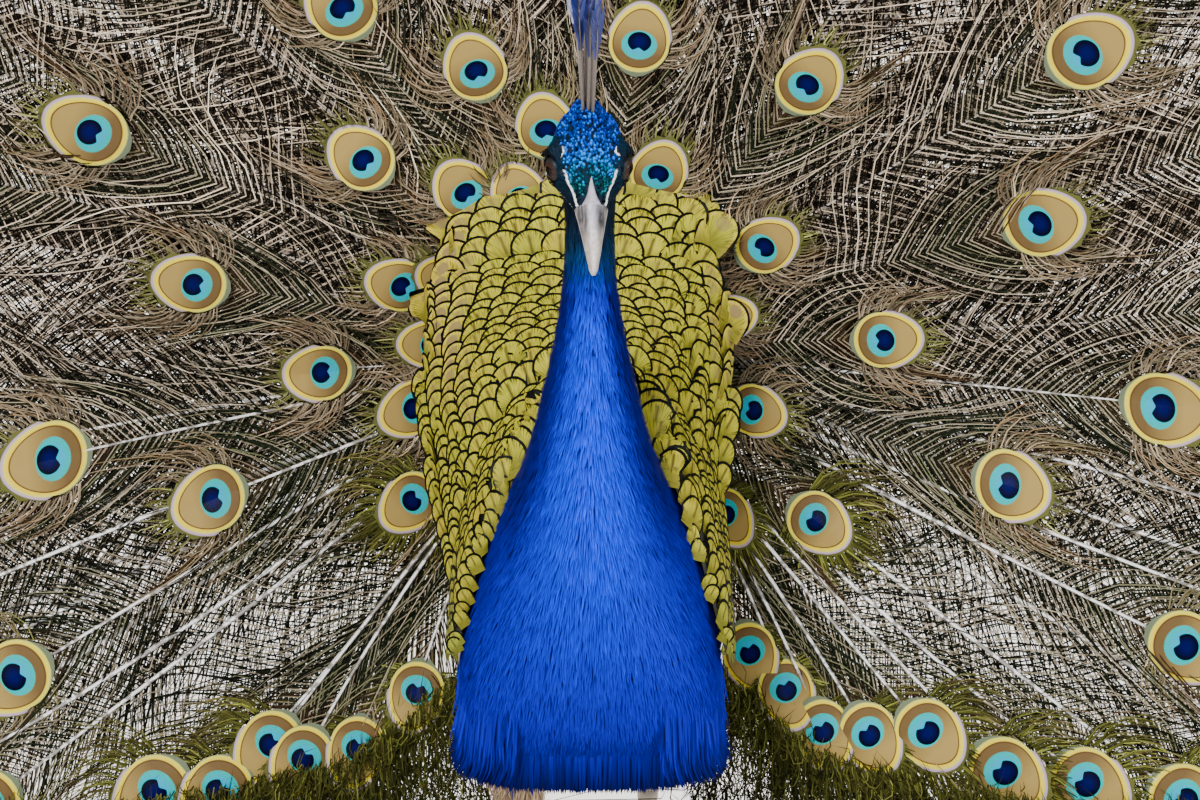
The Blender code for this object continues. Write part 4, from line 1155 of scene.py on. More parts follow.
# The quills: tapering three-sided rods from the root to the eye-spot, whitest below.
steps, quill_foot = 14, 0.030
share = np.linspace(0, 1, steps)[None]
along = quill_foot + (feather_reach[:, None] - quill_foot - 0.46 * eye_length[:, None]) * share
bent = rng.normal(0, 0.010, len(feathers))[:, None] * np.sin(math.pi * share) * along
spine = fan_place(*turned(along, bent, feather_angle[:, None]),
                  feather_ahead[:, None] - 0.001 + 0.0022 * bright)
way = unit(np.gradient(spine, axis=1))
aside = unit(np.cross(way, front))
depth = unit(np.cross(aside, way))
left_over = (feather_reach + eye_length * 0.5)[:, None] - along
thick = ((0.00045 + 0.0016 * np.clip(left_over, 0, 1) ** 0.7) * (0.75 + 0.75 * bright))[..., None]
tube = np.stack([spine - aside * thick * 0.95, spine + aside * thick * 0.95, spine + depth * thick], axis=2)
faces = ring_faces(steps, 3, inward=True) + [(0, 1, 2), (3 * steps - 1, 3 * steps - 2, 3 * steps - 3)]
paleness = np.clip(0.10 + bright + 0.3 * rng.random((len(feathers), 1)), 0, 1)
tint = blend(np.array((0.34, 0.27, 0.20)), (0.98, 0.97, 0.95), paleness)[:, None]
tint = tint * (1 - 0.10 * share[..., None])
tube = tube.reshape(len(feathers), -1, 3)
quills = joined_mesh("train_quills", tube, faces, np.repeat(tint, 3, axis=1), {"OFBake": train_roots(tube)})
turn_outward(quills)
quill_shader = Shader("train_quill", roughness=0.4)
streaks = quill_shader.noise(150.0, 2.0).above(0.53, 0.05) * 0.80
quill_shader.set("Base Color", quill_shader.mix(streaks, quill_shader.plumage(), (0.10, 0.08, 0.06)))
dress(quills, quill_shader, "train_plumage")

# The barbs: each leaves its quill at an angle and bends towards the tip, so that those below an
# eye-spot sweep round it. They are closest near the eye-spot and sparse on the long bare quills.
most_in_piece = 190000
barbs = []
for index, (reach, angle) in enumerate(zip(feather_reach, feather_angle)):
    last = reach - (0.020 * feather_scale[index] if feather_eyed[index] else -0.015)
    airy = 0.0025 * low_feather[index] * (1 if math.cos(angle) > 0 else -0.2)
    near = 0.0021 if reach > 0.30 else 0.0019
    place = quill_foot if reach < 0.2 else 0.065
    while place < last:
        gap = np.interp(last - place, (0.0, 0.07, 0.12, 0.25, 0.5, 0.9),
                        (near, near, 0.0038, 0.0062 + airy, 0.0115 + airy, 0.019))
        gap = gap * (1 - 0.22 * abs(math.cos(angle)) ** 2 if place < inner_reach else 0.85)
        barbs += [(index, place + rng.uniform(-0.12, 0.12) * gap, hand) for hand in (-1, 1)]
        place += gap
feather_of, starts, hands = np.array(barbs).T
feather_of = feather_of.astype(int)
count = len(starts)
reach = feather_reach[feather_of]
to_eye = reach - starts
near_eye = 1 - rise(to_eye, 0.05, 0.13)
length = (0.116 - 0.022 * near_eye) * np.clip(reach / 0.20, 0.55, 1.0) * rng.uniform(0.88, 1.10, count)
length = length * (1 - 0.32 * rise(starts, 0.96, 1.09))
tuft = np.floor(starts / 0.03).astype(int) + 41 * feather_of
sway = rng.normal(0, 1, (3, tuft.max() + 1))[:, tuft]
open_angle = np.radians(50 + (8 - 4 * near_eye) * sway[0] + rng.normal(0, 2.0, count))
close_angle = np.radians(44 - 40 * near_eye + (15 - 11 * near_eye) * sway[1] + rng.normal(0, 2.5, count))
steps = 6
edges = np.linspace(0, 1, steps)
middles = (edges[1:] + edges[:-1]) / 2
angle = blend(close_angle[:, None], open_angle[:, None], (1 - middles) ** 1.5)
angle = angle + 0.24 * (sway[2] * (1 - 0.75 * near_eye))[:, None] * np.sin(1.6 * math.pi * middles)
pace = length[:, None] / (steps - 1)
run, aside = (np.concatenate([np.zeros((count, 1)), np.cumsum(part * pace, axis=1)], axis=1)
              for part in (np.cos(angle), np.sin(angle)))
across, up = turned(starts[:, None] + run, aside * hands[:, None], feather_angle[feather_of][:, None])
depth = rng.uniform(-0.0085, 0.0004, count)[:, None] * edges**0.8
lines, facing, flat_way = laid_on(fan_place, across, up, feather_ahead[feather_of][:, None] + depth)
# Two barbs in five are pale taupe; the others are near black, painted shade of the dark lattice between the
# pale ones.
pale = ((np.arange(count) // 2) % 5 % 2 == 1)[:, None]
roll = rng.normal(0, 0.35, count)[:, None, None]
half = np.where(pale, 0.00033, 0.00045) * (1 + 1.2 * rise(starts, 0.40, 0.46)[:, None])
half = half * (1 - 0.45 * edges**1.5)
sides = (flat_way * np.cos(roll) + facing * np.sin(roll))[:, :-1] * half[:, :-1, None]
low_here = np.clip(fall[feather_of] * 2.0 + 0.35, 0, 1)
tone = np.where(pale, (0.54, 0.43, 0.315), (0.007, 0.005, 0.0035))
tone = tone * np.exp(rng.normal(0, 0.20, (count, 1)) + 0.22 * sway[0][:, None] - 0.75 * low_here[:, None])
greenness = 0.85 * near_eye * rise(to_eye, 0.01, 0.03) * rng.random(count)
greenness = np.maximum(greenness, (0.70 - 0.35 * rise(starts, 0.10, 0.26)) * low_here * rng.random(count))
tone = blend(tone, np.where(pale, (0.12, 0.145, 0.060), (0.012, 0.020, 0.008)), greenness[:, None])
rufous = np.array((0.36, 0.17, 0.075)) * np.where(pale, 1.0, 0.35)
tone = blend(tone, rufous, (0.28 * near_eye * (1 - rise(to_eye, 0.02, 0.05)))[:, None])
colours = np.clip(tone[:, None] * (0.75 + 0.40 * edges[:, None]), 0, 1)
barb_shader = Shader("train_barb", roughness=0.6, shine=0.03, plumage=True)
train_nodes = [f"train_{side}_{part}" for side in ("left", "right")
               for part in ("low", "side", "upper", "top")]
pieces = math.ceil(count * (2 * steps - 3) / most_in_piece)
for index, part in enumerate(np.array_split(np.arange(count), pieces)):
    piece = blades(f"train_barbs_{index + 1}", lines[part], sides[part], colours[part],
                   train_roots(lines[part, 0]))
    dress(piece, barb_shader, "train_plumage", *(train_nodes if index == 0 else ()))


# The eye-spots: the barbs of each tip knit into an oval plate, with a dark blue heart in a blue-green
# disc, a bronze field, a yellow ring and a lilac edge, and a loose fringe of green barbs round it.
def by_eyespot(aside, past, ahead, of):
    """Places aside and past the middle of each feather's eye-spot, on the dish of the train. The low
    ones near the legs turn to face ahead instead."""
    turn, reach = feather_angle[of][:, None], feather_reach[of][:, None]
    front_of = feather_ahead[of][:, None]
    on_dish = fan_place(*turned(reach + past, aside, turn), front_of + ahead)
    middle = fan_place(reach * np.cos(turn), reach * np.sin(turn), front_of)
    tip = fan_place((reach + 0.01) * np.cos(turn), (reach + 0.01) * np.sin(turn), front_of)
    way = unit(tip - middle)
    side_way = unit(np.cross(np.array((0.0, -1.0, 0.25)), way))
    facing = middle + side_way * aside[..., None] + way * past[..., None]
    facing = facing + np.cross(way, side_way) * ahead[..., None]
    low_share = (feather_reach[of] < inner_reach) * low_feather[of] ** 2
    return blend(on_dish, facing, (0.85 * low_share)[:, None, None])


eyed = np.flatnonzero(feather_eyed)
count = len(eyed)
around, plate_rings = 26, (0.35, 0.70, 0.90, 1.0)
plate = [(0.0, 0.0, 0.0)]
for share in plate_rings:
    for i in range(around):
        turn = 2 * math.pi * i / around
        toward = math.cos(turn)
        ragged = 0.92 if share == 1.0 and i % 2 and toward > -0.5 else 1.0
        radius = 1.02 + 0.22 * float(rise(toward, -0.55, 0.75)) + 0.13 * max(-toward, 0) ** 10
        radius = radius * share * ragged
        plate.append((radius * 0.42 * math.sin(turn) * (1 - 0.13 * toward), radius * 0.5 * toward, share))
plate = np.array(plate)
faces = [(0, 1 + i, 1 + (i + 1) % around) for i in range(around)]
faces += ring_faces(len(plate_rings), around, first=1, inward=True)
aside, past = (plate[None, :, axis] * eye_length[eyed][:, None] for axis in (0, 1))
tilt = rng.normal(0, 0.09, (2, count, 1))
dish = 0.0032 - 0.0012 * plate[None, :, 2] ** 2
points = by_eyespot(aside, past, dish + tilt[0] * aside + (tilt[1] - 0.04) * past, eyed)
flat = plate[:, :2] + 0.5
own = np.repeat(rng.random((count, 1, 1)), len(plate), axis=1) * np.ones((1, 1, 3))
maps = {"OFBake": cell_map(count, flat, margin=0.19), "Eyespot": np.tile(flat, (count, 1, 1))}
eyespots = joined_mesh("train_eyespots", points, faces, own, maps)
eye_shader = Shader("eyespot", shine=0.05)
plate_map = eye_shader.uv("Eyespot")
u, v, _ = eye_shader.parts(plate_map)
own = eye_shader.parts(eye_shader.plumage())[0]


def oval(half_wide, middle, half_long, narrowing=None):
    """How far out a place is in an oval, 1 on its rim, and how far towards the tip."""
    x, t = (u - 0.5) / half_wide, (v - middle) / half_long
    x = x / (1.0 - t * narrowing) if narrowing else x
    return (x * x + t * t) ** 0.5, t


yellow_at, t = oval(0.42, 0.5, 0.5, 0.13)
yellow_at = yellow_at + (eye_shader.noise(7.0, 2.0, plate_map) - 0.5) * 0.03
bronze_at, _ = oval(0.372, 0.4965, 0.436, 0.17)
disc_at, _ = oval(0.250, 0.402, 0.212)
heart_far, heart_t = oval(0.166, 0.448, 0.146)
notch = (((0.0 - heart_t) / (heart_far + 0.001) - 0.86) / 0.14).clamp() ** 1.2
heart_at = heart_far + notch * 0.42
weave = ((v + abs(u - 0.5) * -1.15) * 330.0 + own * 6.0).sine() * 0.5 + 0.5
fringe = eye_shader.mix(weave * 0.7, (0.045, 0.052, 0.012), (0.17, 0.165, 0.045))
proximal = eye_shader.mix(weave * 0.4, (0.10, 0.13, 0.08), (0.17, 0.19, 0.13))
lilac = eye_shader.mix(weave * 0.35, (0.36, 0.25, 0.36), (0.56, 0.44, 0.52))
yellow = eye_shader.mix(weave * 0.4, (0.66, 0.46, 0.015), (0.78, 0.58, 0.04))
yellow = eye_shader.mix(yellow_at.above(0.93, 0.06) * 0.6, yellow, (0.52, 0.56, 0.09))
bronze = eye_shader.mix(v.above(0.48, 0.45), (0.115, 0.070, 0.026), (0.31, 0.215, 0.062))
bronze = eye_shader.mix(weave * 0.18, bronze, (0.20, 0.13, 0.055))
cyan = eye_shader.mix(disc_at.above(0.72, 0.4), (0.0, 0.31, 0.47), (0.0, 0.34, 0.32))
heart = eye_shader.mix(heart_far.above(0.62, 0.6), (0.0, 0.0003, 0.055), (0.0, 0.0003, 0.004))
eye_shader.set("Base Color", eye_shader.layers(
    proximal,
    (t.above(-0.35, 0.7), fringe),
    ((1 - yellow_at.above(1.075, 0.03)) * t.above(-0.10, 0.5), lilac),
    (1 - yellow_at.above(1.0, 0.035), yellow),
    (1 - bronze_at.above(1.0, 0.03), (0.075, 0.040, 0.016)),
    (1 - bronze_at.above(0.955, 0.03), bronze),
    (1 - disc_at.above(1.0, 0.04), cyan),
    (1 - heart_at.above(1.0, 0.06), heart),
))
eye_shader.set("Roughness", weave * 0.12 + 0.30)
eye_shader.bump(weave, 0.25, 0.0002)
dress(eyespots, eye_shader, "train_plumage")

# The fringe of each eye-spot: loose barbs round its outer side, green, then rufous, then brown.
near_legs = feather_reach < inner_reach
each = np.where(near_legs, 90, 40) + np.where(near_legs & (low_feather > 0.9), 120, 0)
fringe_of = np.repeat(eyed, each[eyed])
number = len(fringe_of)
hung = near_legs[fringe_of] * low_feather[fringe_of] ** 3
place = np.concatenate([(np.arange(n) + 0.5) / n * 2 - 1 for n in each[eyed]])
round_angle = np.radians(142 * place + rng.normal(0, 4, number))
wide_of = np.abs(round_angle)
toward = np.cos(round_angle)
spot_length = eye_length[fringe_of]
reach_out = 1.06 + 0.10 * rise(toward, -0.4, 0.8)
steps = 5
edges = np.linspace(0, 1, steps)[None]
length = (0.015 + 0.019 * rise(wide_of, 0.5, 2.0)) * rng.uniform(0.5, 1.3, number)
length = ((length + 0.020 * hung * rng.random(number)) * (spot_length / 0.047))[:, None]
heading = round_angle[:, None] * (0.75 - 0.42 * edges) + rng.normal(0, 0.16, number)[:, None]
aside = (reach_out * 0.42 * np.sin(round_angle) * (1 - 0.13 * toward) * spot_length)[:, None]
past = (reach_out * 0.5 * toward * spot_length)[:, None]
ahead = 0.0014 + (rng.uniform(-0.0035, 0.0008, number) - 0.006 * hung)[:, None] * edges
lines, _, flat_way = laid_on(by_eyespot, aside + np.sin(heading) * edges * length,
                             past + np.cos(heading) * edges * length, ahead, fringe_of)
sides = flat_way[:, :-1] * (0.00036 * (1 - 0.4 * edges[:, :-1]))[..., None]
olive = np.array((0.078, 0.082, 0.022)) + hung[:, None] * np.array((-0.024, -0.024, -0.012))
olive = olive * np.exp(rng.normal(-0.20, 0.75, (number, 1)))
taupe = np.array((0.20, 0.155, 0.10)) * np.exp(rng.normal(-0.3, 0.6, (number, 1)))
olive = blend(olive, taupe, (rise(wide_of, 0.7, 1.3) * (1 - hung))[:, None])[:, None]
outer_tone = np.where(rng.random((number, 1)) < 0.35, (0.30, 0.18, 0.09), (0.09, 0.060, 0.03))[:, None]
share = edges[..., None] * (0.3 + 0.9 * rng.random((number, 1, 1)))
share = share * (0.25 + 0.75 * rise(wide_of, 0.5, 1.5) * (1 - 0.8 * hung))[:, None, None]
colours = blend(olive, outer_tone, np.clip(share, 0, 1))

# Under the lowest row of eye-spots the fringes grow into one dense olive hem with dark curled ends.
hem_count = 6400
hem_angle = np.radians(31 + 55 * rng.random(hem_count) ** 0.85)
hem_reach = np.interp(hem_angle, np.radians((31, 36, 42, 50, 60, 72, 83)),
                      (0.385, 0.352, 0.300, 0.252, 0.215, 0.170, 0.150))
deep = rng.random(hem_count) ** 1.5
hem_reach += 0.006 + deep * (0.026 + 0.038 * rise(hem_angle, 0.75, 1.25))
hand = rng.choice((-1.0, 1.0), hem_count)
length = (rng.uniform(0.006, 0.017, hem_count) + 0.014 * deep**2)[:, None]
curl = rng.normal(0, 0.5, hem_count)[:, None] + rng.normal(0, 1.1, hem_count)[:, None] * edges**2
across = (hem_reach * np.cos(hem_angle))[:, None] + length * edges * np.sin(0.25 + curl)
up = -(hem_reach * np.sin(hem_angle))[:, None] - length * edges * np.cos(0.25 + curl)
ahead = (0.030 + rng.uniform(-0.010, 0.010, hem_count))[:, None] + 0.004 * edges
hem = fan_place(across * hand[:, None], up, ahead)
hem_side = unit(np.cross(unit(np.gradient(hem, axis=1)), front))[:, :-1] * 0.00032
tone = np.array((0.058, 0.060, 0.011)) * np.exp(rng.normal(-0.35, 0.75, (hem_count, 1)))
tone = (tone * (1 - 0.80 * deep[:, None] ** 1.5))[:, None]
tone = tone * (1.1 - 0.95 * edges[..., None] * rng.random((hem_count, 1, 1)) ** 0.5)
lines, sides, colours = (np.concatenate(pair) for pair in ((lines, hem), (sides, hem_side), (colours, tone)))
fringes = blades("train_fringes", lines, sides, colours, train_roots(lines[:, 0]))
dress(fringes, barb_shader, "train_plumage")


# The rest of the plumage: grey-brown down over rump and tail root, buff feathers on the thighs, and
# the long flank feathers that spread where the breast meets the legs.
rng = np.random.default_rng(88)
spot, normal = scatter(skin, 0.0052, rng, lambda p: (p[:, 1] - breast_front > 0.25) | (p[:, 2] < 0.252))
low_part = spot[:, 2] < 0.246
lie = np.where(low_part[:, None], (0.0, 0.12, -1.0), (0.0, 1.0, -0.15))
lie = lie + rng.normal(0, 0.12, lie.shape)
down_shader = Shader("down_barbs", roughness=0.75, shine=0.2, plumage=True)
fluffy = rise(spot[:, 1] - breast_front, 0.325, 0.36) * ~low_part
tufts("rump_and_thigh_feathers", spot, normal, lie + fluffy[:, None] * (0, 0, -0.9),
      body_colour(spot, normal), rng, down_shader, "thigh_plumage",
      length=np.where(low_part, 0.0105, 0.019 + 0.010 * fluffy), width=np.where(low_part, 0.0012, 0.0014),
      lift=coat_depth(spot) * 1.1 + 0.009 * fluffy, spread=0.36, contrast=0.26, root=0.6)

# The hem of the breast: every other barb starts on its side and flares outwards, the rest in front.
body_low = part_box("breast")[0][2]
lines, colours, sides = [], [], []
t = np.linspace(0, 1, 7)[:, None]
for sign in (1, -1):
    for barb in range(3000):
        beside = barb % 2 == 0
        back, aside = breast_front + rng.uniform(0.012, 0.125), rng.uniform(0, 0.062)
        climb = body_low + (rng.uniform(0.014, 0.070) if beside else rng.uniform(0.018, 0.036))
        start = (sign * 0.2, back, climb) if beside else (sign * aside, -0.9, climb)
        toward = (-sign, 0, 0) if beside else (0, 1, 0)
        hit, up = skin_surface.ray_cast(Vector(start), Vector(toward))[:2]
        if hit is None or beside and abs(hit.x) < 0.036 or hit.y > breast_front + 0.13:
            continue
        hem = body_low + 0.0125 - 0.14 * (hit.y - breast_front - 0.03) + rng.uniform(-0.0012, 0.0012)
        fall = min(max(climb - hem, 0.004), 0.030)
        line = np.array(hit) + t * np.array((rng.normal(0, 0.05) * fall, rng.uniform(-0.002, 0.002), -fall))
        line += np.array(up) * (0.0010 + 0.0022 * t)
        flare = (0.0055 if beside else 0.0) * rng.uniform(0.7, 1.0) * rise(fall, 0.0, 0.02)
        line[:, 0] += sign * flare * np.clip((line[:, 2] - hem - 0.016) / -0.016, 0, 1) ** 2
        lines.append(line)
        across = unit(np.array((sign * 0.75, 0.65 if beside else 0.1, rng.normal(0, 0.10))))
        sides.append(across * 0.0008 * (1 - 0.6 * t[:-1] ** 2))
        shade = 0.78 - 0.62 * np.clip((line[:, 2:] - hem - 0.022) / -0.022, 0, 1)
        blue = body_colour(np.array([hit]), np.array([(0.0, -1.0, 0.0)]))
        colours.append(np.exp(rng.normal(0, 0.25)) * blue * shade)
lines, sides, colours = (np.array(each) for each in (lines, sides, colours))
flanks = blades("flank_feathers", lines, sides, colours, skin_roots(lines[:, 0]))
dress(flanks, blue_shader, "blue_plumage")


# The true tail: eighteen stiff grey-brown feathers in a fan behind the train, which prop it up.
tail_feathers, rows, columns = 18, 18, 7
tail_root, tail_half = 0.060, 0.0235
rng = np.random.default_rng(18)
tail_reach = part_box("tail")[1][2] - fan_root[2]
share = np.linspace(0, 1, rows)
half = 0.0150 * np.interp(share, (0, 0.12, 0.45, 0.80, 0.90, 0.96, 1.0),
                          (0.16, 0.35, 0.72, 1.0, 0.92, 0.66, 0.10))
angles = np.radians(np.linspace(16.5, 163.5, tail_feathers) + rng.normal(0, 0.6, tail_feathers))
points, flat = [], []
for index, angle in enumerate(angles):
    reach = tail_reach * rng.uniform(0.955, 0.985)
    aside = half[:, None] * np.linspace(-1, 1, columns)
    along = (tail_root + (reach - tail_root) * share)[:, None] - 0.10 * np.abs(aside)
    behind = 0.0115 + 0.0011 * (index % 3) + 0.0016 * (aside / tail_half) ** 2 + 0.0012 * aside / tail_half
    points.append(fan_place(*turned(along, aside, angle), -behind).reshape(-1, 3))
    flat.append(np.stack([0.5 + 0.5 * aside / tail_half, along / reach], axis=-1).reshape(-1, 2))
cell = np.arange(tail_feathers)[:, None, None] / tail_feathers * (1.0, 0.0)
maps = {"OFBake": cell + np.array(flat) * (0.94 / tail_feathers, 0.98), "Vane": np.array(flat)}
tail = joined_mesh("tail_feathers", np.array(points), grid_faces(rows, columns), maps=maps)
modify(tail, "SOLIDIFY", thickness=0.0006, offset=0.0)
vane_shader = Shader("tail_vane", roughness=0.6)
u, v, _ = vane_shader.parts(vane_shader.uv("Vane"))
side = abs(u - 0.5)
strand = ((v * 9.0 - side * 1.6) * 60.0).sine() * 0.5 + 0.5
patchy = vane_shader.noise(60.0, 3.0)
vane_shader.set("Base Color", vane_shader.layers(
    vane_shader.mix(patchy, (0.085, 0.065, 0.048), (0.16, 0.125, 0.095)),
    (strand * 0.35, (0.24, 0.19, 0.145)),
    (1 - side.above(0.022, 0.02), (0.36, 0.30, 0.23)),
))
vane_shader.set("Roughness", patchy * 0.2 + 0.5)
vane_shader.bump(strand + (1 - side.above(0.03, 0.03)) * 1.5, 0.4, 0.0005)
dress(tail, vane_shader, "tail_plumage", "tail")


# The wings, folded along the flanks: rows of small buff feathers barred with black over the shoulder
# and, under them, the long chestnut flight feathers that end behind the thighs.
def vanes(name, spot, way, normal, length, wide, tint, shader, lift):
    """Rounded feathers as one object, each with its own length, width and colour, with a Vane map."""
    across = np.cross(way, normal)
    points = (spot[:, None] + across[:, None] * feather_shape[:, :1] * (wide / 2)[:, None, None]
              + way[:, None] * feather_shape[:, 1:2] * length[:, None, None]
              + normal[:, None] * (feather_shape[:, 2:] * wide[:, None, None] * lift + 0.0004))
    maps = {"OFBake": cell_map(len(spot), feather_flat), "Vane": np.tile(feather_flat, (len(spot), 1, 1))}
    made = joined_mesh(name, points, shape_faces, np.repeat(tint[:, None], shape_corners, axis=1), maps)
    modify(made, "SOLIDIFY", thickness=0.0003, offset=0.0)
    dress(made, shader, "wing_plumage")


barred_shader = Shader("barred_covert", roughness=0.55, shine=0.25)
u, v, _ = barred_shader.parts(barred_shader.uv("Vane"))
side = abs(u - 0.5)
ripple = barred_shader.noise(220.0, 2.0)
bars = ((v * 2.6 + side * -0.9 + ripple * 0.5) * 2 * math.pi).sine().above(0.15, 0.5)
barred_shader.set("Base Color", barred_shader.layers(
    barred_shader.plumage(), (bars, (0.022, 0.016, 0.012)), (1 - v.above(0.35, 0.3), (0.05, 0.035, 0.022))))
barred_shader.bump(((v * 3.0 - side * 2.0) * 90.0).sine(), 0.25, 0.0003)
flight_shader = Shader("chestnut_flight", shine=0.25)
u, v, _ = flight_shader.parts(flight_shader.uv("Vane"))
side = abs(u - 0.5)
strand = ((v * 5.0 - side * 0.8) * 110.0).sine() * 0.5 + 0.5
flight_shader.set("Base Color", flight_shader.layers(
    flight_shader.plumage(), (strand * 0.3, (0.36, 0.17, 0.07)),
    (1 - side.above(0.03, 0.03), (0.10, 0.05, 0.03))))
flight_shader.bump(strand, 0.3, 0.0003)
wing_skin_shader = Shader("wing_under_feathers", roughness=0.7)
wing_skin_shader.set("Base Color", wing_skin_shader.mix(wing_skin_shader.noise(300.0), (0.05, 0.03, 0.02),
                                                        (0.13, 0.08, 0.05)))
rng = np.random.default_rng(61)
slope = math.radians(28)
flight_count = 11
for side_name, sign in (("left", 1), ("right", -1)):
    for part in ("coverts", "flight"):
        wing_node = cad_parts[f"wing_{side_name}_{part}"]
        wing_node.data.materials.clear()
        wing_node.data.materials.append(wing_skin_shader.material)
    low, high = (np.array(corner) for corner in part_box(f"wing_{side_name}_coverts"))
    coverts_surface = surface_of(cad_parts[f"wing_{side_name}_coverts"])
    spot = []
    for row in range(13):
        back = low[1] - 0.002 + (high[1] - low[1]) * row / 12
        for column in range(9):
            climb = low[2] - 0.002 + (high[2] - low[2]) * (column + 0.5 * (row % 2)) / 8.5
            hit = coverts_surface.ray_cast(Vector((sign * 0.2, back, climb)), Vector((-sign, 0, 0)))[0]
            if hit is not None:
                spot.append(hit)
    spot, up = nearest(coverts_surface, np.array(spot))
    up = unit(up + np.array((sign * 0.6, 0, 0)))
    lie = np.array((0.0, math.cos(slope), -math.sin(slope)))
    way = flattened(lie + rng.normal(0, 0.06, spot.shape), up)
    wide = 0.0125 + 0.006 * (spot[:, 1] - low[1]) / (high[1] - low[1]) * rng.uniform(0.9, 1.1, len(spot))
    tint = np.array((0.44, 0.33, 0.20)) * np.exp(rng.normal(0, 0.15, (len(spot), 1)))
    vanes(f"wing_coverts_{side_name}", spot - way * 0.004, way, up, wide * 1.5, wide, tint,
          barred_shader, 0.16)
    low, high = (np.array(corner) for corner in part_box(f"wing_{side_name}_flight"))
    share = np.linspace(0, 1, flight_count)
    start = np.column_stack([sign * (0.0625 - 0.0035 * share), low[1] - 0.020 + 0.004 * share,
                             high[2] - 0.014 - 0.050 * share])
    end = np.column_stack([sign * (0.0475 + 0.0015 * share), high[1] - 0.004 - 0.055 * share**1.2,
                           low[2] + 0.050 - 0.044 * share])
    way = unit(end - start)
    up = flattened(np.array((sign * 1.0, 0.10, 0.0)) + np.array((0, 0, 0.25)) * share[:, None], way)
    tint = np.array((0.23, 0.105, 0.045)) * np.exp(rng.normal(0, 0.12, (flight_count, 1)))
    vanes(f"wing_flights_{side_name}", start + up * (0.0022 + 0.0006 * share[::-1])[:, None], way, up,
          np.linalg.norm(end - start, axis=1) * 0.98, np.full(flight_count, 0.019), tint, flight_shader, 0.06)


# The legs and feet: bare scaly skin over bone, grey-brown, one surface from shank to toes, with a row
# of broad horn plates down the front of each shank and along the top of each toe.
leg_shader = Shader("leg_skin")
crazing = leg_shader.node("TexVoronoi", {"feature": "DISTANCE_TO_EDGE"},
                          {"Vector": leg_shader.node("TexCoord").outputs["Object"], "Scale": 700.0})
cracks = Value(leg_shader, crazing.outputs["Distance"]).above(0.10, 0.16)
tone = leg_shader.mix(leg_shader.noise(120.0, 3.0), (0.20, 0.16, 0.125), (0.34, 0.285, 0.225))
leg_shader.set("Base Color", leg_shader.mix(1 - cracks, tone, (0.075, 0.058, 0.045)))
leg_shader.bump(cracks, 0.6, 0.0004)
plate_shader = Shader("leg_plates", roughness=0.42)
worn = plate_shader.noise(260.0, 3.0)
plate_shader.set("Base Color", plate_shader.mix(worn, (0.21, 0.17, 0.13), (0.40, 0.335, 0.26)))
plate_shader.set("Roughness", worn * 0.25 + 0.32)
plate_shader.bump(worn, 0.3, 0.0003)
horn_shader = Shader("claw_horn", roughness=0.32, coat_weight=0.2, coat_roughness=0.25)
horn_grain = horn_shader.noise(300.0, 3.0, stretch=(1.0, 1.0, 4.0))
horn_shader.set("Base Color", horn_shader.mix(horn_grain, (0.045, 0.036, 0.030), (0.15, 0.125, 0.10)))
horn_shader.bump(horn_grain, 0.25, 0.0002)
toe_names = ("inner", "middle", "outer", "hind")
limb_end = 0.003


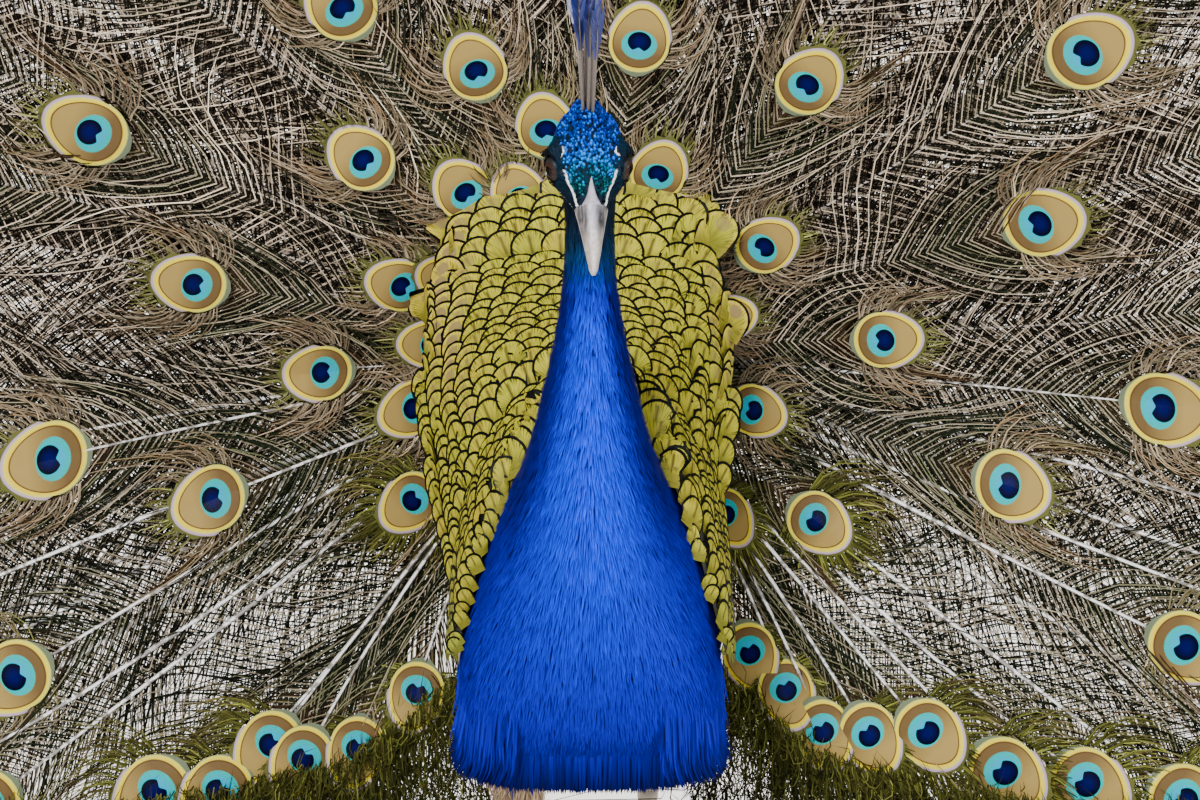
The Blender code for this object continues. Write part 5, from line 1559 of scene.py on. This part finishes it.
def plates(name, surface, starts, ends, width, outward):
    """Overlapping horn plates along limbs, each wrapped over the surface by casting rays on to it."""
    strips, rows, columns = [], 3, 7
    for start, end in zip(starts, ends):
        along = unit(end - start)
        side = unit(np.cross(along, outward))
        out = np.cross(side, along)
        strip = []
        for row in range(rows):
            share = row / (rows - 1)
            middle = start + (end - start) * (-0.12 + 1.26 * share)
            for column in range(columns):
                turn = math.radians(-74 + 148 * column / (columns - 1))
                toward = -(out * math.cos(turn) + side * math.sin(turn))
                hit = surface.ray_cast(Vector(middle - toward * 0.02), Vector(toward), 0.03)[0]
                place = middle - toward * width if hit is None else np.array(hit)
                strip.append(place - toward * (0.00015 + 0.00055 * share))
        strips.append(strip)
    made = joined_mesh(name, np.array(strips), grid_faces(rows, columns))
    modify(made, "SOLIDIFY", thickness=0.0004, offset=1.0)
    dress(made, plate_shader, "leg_skin")


for side_name in ("left", "right"):
    nodes = [f"shank_{side_name}", f"palm_{side_name}", *(f"toe_{side_name}_{toe}" for toe in toe_names)]
    places, _ = corners(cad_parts[f"shank_{side_name}"])
    height = places[:, 2]
    ankle = places[height > height.max() - limb_end].mean(axis=0)
    heel = places[height < height.min() + limb_end].mean(axis=0)
    leg = joined_copy(f"leg_{side_name}", nodes)
    bpy.ops.mesh.primitive_uv_sphere_add(segments=24, ring_count=16, radius=0.0086, location=tuple(ankle))
    knob = bpy.context.object
    knob.scale = (0.86, 1.0, 1.15)
    bpy.ops.object.transform_apply(location=True, scale=True)
    alone(leg)
    knob.select_set(True)
    bpy.ops.object.join()
    modify(leg, "REMESH", mode="VOXEL", voxel_size=0.0011)
    modify(leg, "SMOOTH", factor=0.5, iterations=6)
    leg.data.materials.clear()
    dress(leg, leg_shader, "leg_skin", *nodes, smooth=True)
    leg_surface = surface_of(leg)
    line = ankle + (heel - ankle) * np.linspace(0.03, 0.98, 25)[:, None]
    plates(f"shank_plates_{side_name}", leg_surface, line[:-1], line[1:], 0.005, (0.0, -1.0, 0.05))
    palm = np.array(node_middle(f"palm_{side_name}"))
    starts, ends = [], []
    for toe in toe_names:
        places, _ = corners(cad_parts[f"toe_{side_name}_{toe}"])
        away = np.linalg.norm((places - palm)[:, :2], axis=1)
        tip = places[away > away.max() - limb_end].mean(axis=0)
        root_end = places[away < away.min() + 0.004].mean(axis=0)
        line = root_end + (tip - root_end) * np.linspace(0.04, 0.97, 7 if toe == "hind" else 14)[:, None]
        starts.extend(line[:-1])
        ends.extend(line[1:])
    plates(f"toe_plates_{side_name}", leg_surface, starts, ends, 0.004, (0.0, 0.0, 1.0))
    horns = [f"claw_{side_name}_{toe}" for toe in toe_names] + [f"spur_{side_name}"]
    claws = joined_copy(f"claws_{side_name}", horns)
    modify(claws, "SUBSURF", levels=2, render_levels=2)
    dress(claws, horn_shader, "horn", *horns, smooth=True)
